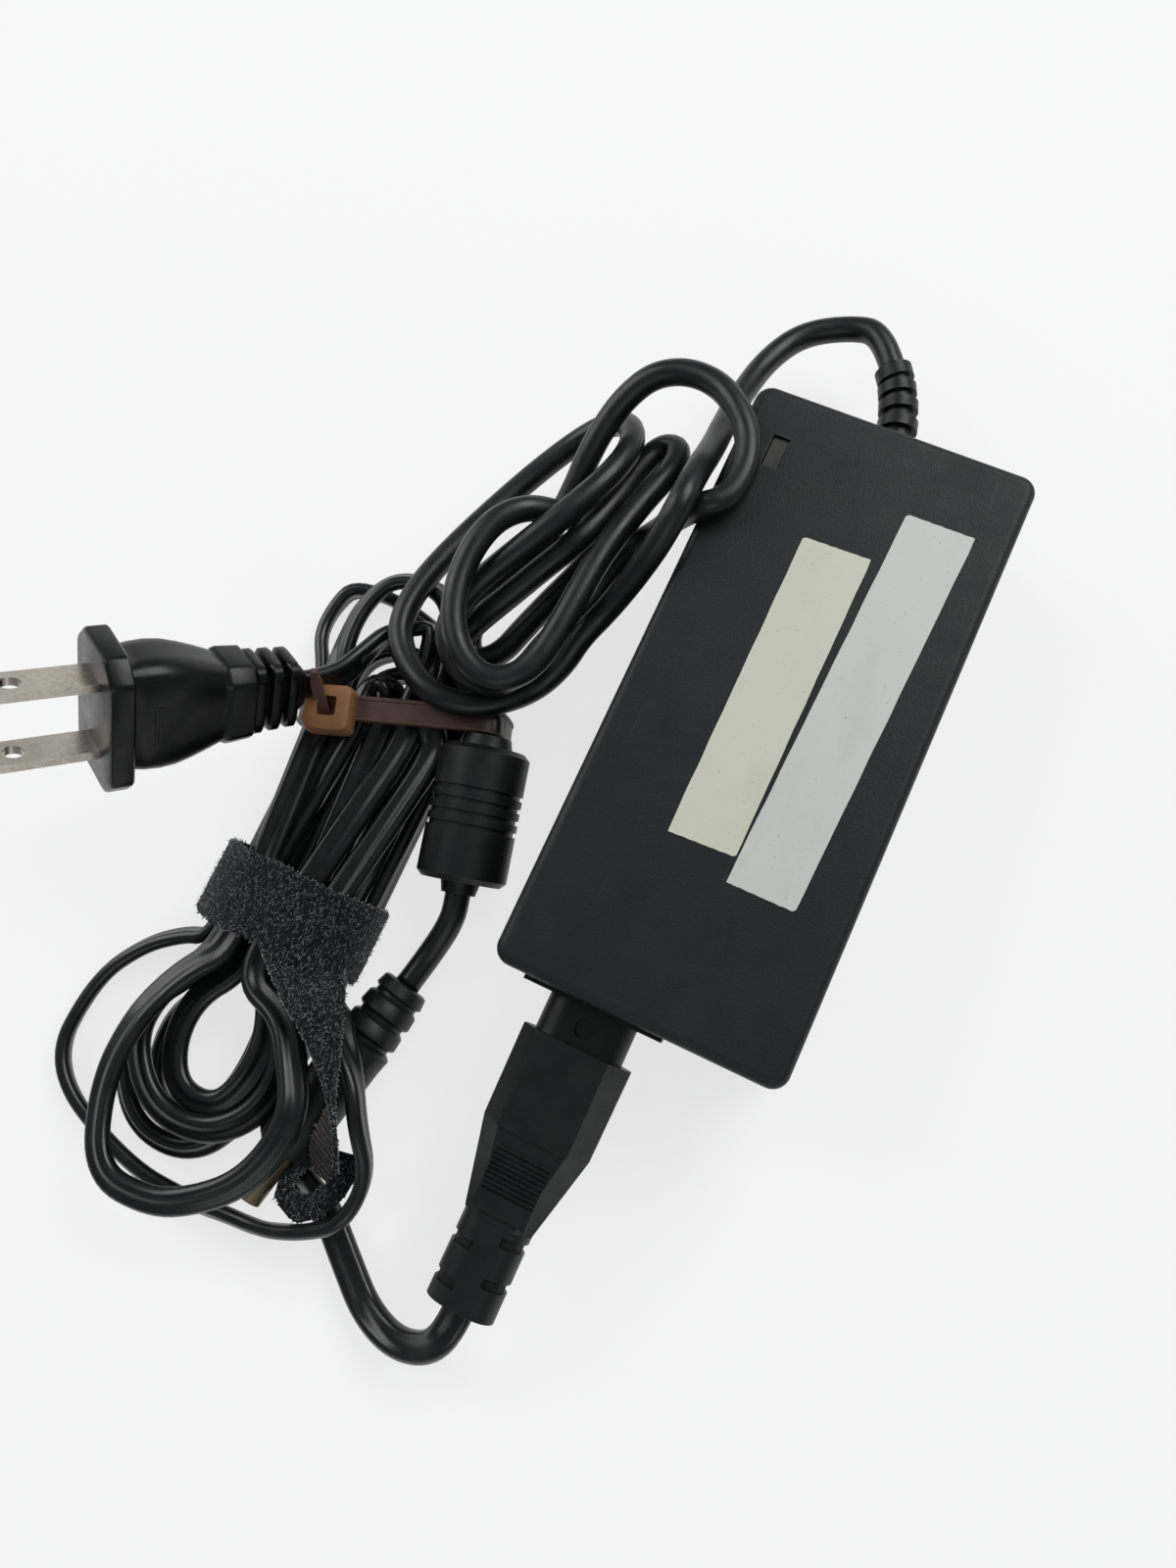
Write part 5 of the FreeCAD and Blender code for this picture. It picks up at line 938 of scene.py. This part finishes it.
def napped(name, rows, thick, material, nap, closed=False, fray=1.0, flecks=0.3):
    """A cloth with a rough outer face, frayed edges and flecks of loose fibre."""
    total, wide = len(rows), len(rows[0])
    outer, inner = [], []
    for row, normals in zip(rows, row_normals(rows, closed)):
        for j, (p, n) in enumerate(zip(row, normals)):
            lift = chance.uniform(-nap, nap)
            if j in (0, wide - 1):
                out = (p - row[j - 1 if j else 1]).normalized()
                p = frayed(p, n, out, thick, fray)
            elif chance.random() < flecks * (p - row[j - 1]).length / CLOTH_STEP:
                lay = (n * 0.55 + Vector([chance.uniform(-1, 1) for k in range(3)])).normalized()
                fibre(p + n * (thick + 0.12), lay, chance.uniform(0.35, 0.75), 0.06)
            outer.append(p + n * (thick + lift))
            inner.append(p)
    half, last = total * wide, wide - 1
    faces = []
    for i in range(total if closed else total - 1):
        a, b = i * wide, (i + 1) % total * wide
        for j in range(last):
            faces.append((a + j, a + j + 1, b + j + 1, b + j))
            faces.append((half + a + j, half + b + j, half + b + j + 1, half + a + j + 1))
        faces.append((a, b, half + b, half + a))
        faces.append((a + last, half + a + last, half + b + last, b + last))
    if not closed:
        for i, order in ((0, 1), (total - 1, -1)):
            for a in range(i * wide, i * wide + last):
                faces.append((a, half + a, half + a + 1, a + 1)[::order])
    piece = mesh_piece(name, outer + inner, faces, material, True, 70)
    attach(piece, "root")
    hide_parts("hook_loop_strap")
    return piece


def row_of(a, b, count):
    """Evenly spaced points from a to b."""
    return [a.lerp(b, k / (count - 1)) for k in range(count)]


def ribbon_rows(one, other, count, step=0.42):
    """Rows across a ribbon between two smooth edges."""
    a, b = smoothed(one), smoothed(other)
    steps = int(round(max(length_of(a), length_of(b)) / step))
    a, spots = evenly(a, length_of(a) / steps)
    b, spots = evenly(b, length_of(b) / steps)
    return [row_of(p, q, count) for p, q in zip(a, b)]


BAND_RING = [(-78.8, 3.2), (-53.6, 3.2), (-51.8, 8.6), (-53.0, 13.2), (-58.0, 16.2), (-65.0, 17.3),
             (-72.2, 16.4), (-77.4, 13.2), (-79.6, 8.0)]
band_low, band_high = -69.9, -55.9
band_out = 1.5
rounded = ring_line(BAND_RING, 3.2, 3)
line, spots = evenly([vec(p[0], p[1], 0) for p in rounded + rounded[:1]], CLOTH_STEP)
centre = [Vector((p.x, p.y)) for p in line[:-1]]
rows = []
for p, n in zip(centre, outward(centre)):
    skew = 0.05 * (p[0] + 64)
    sway = 0.35 * math.sin(p[0] * 0.45)
    x, z = p + n * band_out
    rows.append(row_of(vec(x, band_low - skew * 0.4 + sway, z),
                       vec(x, band_high - skew * 0.2 + sway * 0.5, z), 36))
strap_band = napped("strap_band", rows, 1.4, NAP, 0.16, True)

FLAP_LEFT = [(-68.0, -66.5, 16.6), (-65.6, -69.6, 17.2), (-61.0, -72.6, 19.2), (-55.0, -76.4, 21.2),
             (-49.2, -79.4, 21.9), (-43.4, -84.1, 21.6), (-39.6, -89.6, 19.0), (-37.4, -95.2, 14.6),
             (-37.0, -98.0, 11.0)]
FLAP_RIGHT = [(-53.0, -64.5, 11.6), (-50.0, -68.6, 13.2), (-47.0, -71.8, 16.6), (-44.6, -75.4, 19.4),
              (-42.3, -79.6, 20.8), (-40.4, -85.2, 20.2), (-38.5, -90.4, 17.8), (-36.7, -95.6, 13.8),
              (-36.2, -98.4, 10.6)]
napped("strap_flap", ribbon_rows(FLAP_RIGHT, FLAP_LEFT, 34), 0.8, NAP, 0.14)

BACK_LEFT = [(-41.0, -87.6, 18.2), (-41.6, -90.6, 16.4), (-42.6, -94.4, 13.6), (-42.6, -97.8, 11.0),
             (-40.6, -100.4, 8.8)]
BACK_RIGHT = [(-39.8, -88.0, 18.6), (-38.8, -90.6, 17.0), (-37.6, -94.6, 13.8), (-37.0, -98.6, 10.4),
              (-37.6, -101.2, 8.6)]
napped("strap_back", ribbon_rows(BACK_RIGHT, BACK_LEFT, 16), 0.5, WEAVE, 0.03, fray=0.5, flecks=0.0)

tab_height = 7.9
TAB_OUTER = [(-34.6, -95.4), (-33.4, -98.6), (-34.2, -103.4), (-36.2, -107.4), (-39.8, -110.0),
             (-45.0, -108.0), (-46.0, -104.0), (-44.2, -99.8), (-40.4, -96.6)]
TAB_INNER = [(-38.2, -99.8), (-37.6, -100.6), (-38.3, -102.8), (-39.6, -104.6), (-40.8, -105.2),
             (-43.0, -105.0), (-43.4, -104.0), (-42.4, -101.4), (-40.6, -99.6)]
rows = [row_of(vec(*p, tab_height), vec(*q, tab_height), 9)
        for p, q in zip(ring_line(TAB_OUTER, 1.2, 7), ring_line(TAB_INNER, 1.2, 7))]
napped("strap_tab", rows, 1.0, NAP, 0.1, True, fray=0.6)

# fibres that would reach the floor are held just above it
yarn_points = [vec(p.x, p.y, max(p.z, 0.1)) for p in yarn_points]
yarn = mesh_piece("strap_yarn", yarn_points, yarn_faces, YARN, True, 80)
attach(yarn, "root")
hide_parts("hook_loop_strap")

# Floor, backdrop and light, in metres and watts
LIT_SPOT = vec(-0.03, -0.02, 0)
FLOOR_REACH = 3.0
FLOOR_GLOW = 0.72


def stage_floor():
    """A white floor that glows for the camera and in mirrors, and shades as paper does otherwise."""
    n = Nodes("floor_white")
    n.set("Base Color", (0.9, 0.9, 0.9))
    n.set("Roughness", 0.9)
    n.set("Specular IOR Level", 0.1)
    white = n.add("ShaderNodeEmission")
    rays = n.add("ShaderNodeLightPath")
    both = n.add("ShaderNodeMixShader")
    straight = n.math("MULTIPLY", rays.outputs["Is Camera Ray"], FLOOR_GLOW)
    mirrored = n.math("MAXIMUM", rays.outputs["Is Glossy Ray"], rays.outputs["Is Transmission Ray"])
    n.feed(both.inputs[0], n.math("MAXIMUM", straight, n.math("MULTIPLY", mirrored, FLOOR_GLOW)))
    n.feed(both.inputs[1], n.shader.outputs[0])
    n.feed(both.inputs[2], white.outputs[0])
    n.feed(n.tree.nodes["Material Output"].inputs["Surface"], both.outputs[0])
    mesh = bpy.data.meshes.new("floor")
    s = FLOOR_REACH
    mesh.from_pydata([(-s, -s, 0), (s, -s, 0), (s, s, 0), (-s, s, 0)], [], [(0, 1, 2, 3)])
    mesh.materials.append(n.material)
    floor = bpy.data.objects.new("floor", mesh)
    scene.collection.objects.link(floor)


def area_light(name, place, size, power):
    lamp = bpy.data.lights.new(name, "AREA")
    lamp.shape = "RECTANGLE"
    lamp.size, lamp.size_y = size
    lamp.energy = power
    holder = bpy.data.objects.new(name, lamp)
    scene.collection.objects.link(holder)
    place = Vector(place)
    ahead = (LIT_SPOT - place).normalized()
    holder.matrix_world = Matrix.Translation(place) @ ahead.to_track_quat("-Z", "Y").to_matrix().to_4x4()


stage_floor()
area_light("window", (0.30, 0.65, 0.75), (0.8, 0.5), 6.5)
area_light("left", (-0.85, 0.15, 0.55), (0.5, 0.8), 4.0)
area_light("fill", (0.35, -0.85, 0.8), (0.9, 0.6), 1.6)
world = bpy.data.worlds.new("room")
scene.world = world
world.use_nodes = True
sky = world.node_tree.nodes["Background"]
sky.inputs["Color"].default_value = (0.92, 0.96, 1.0, 1)
sky.inputs["Strength"].default_value = 0.2
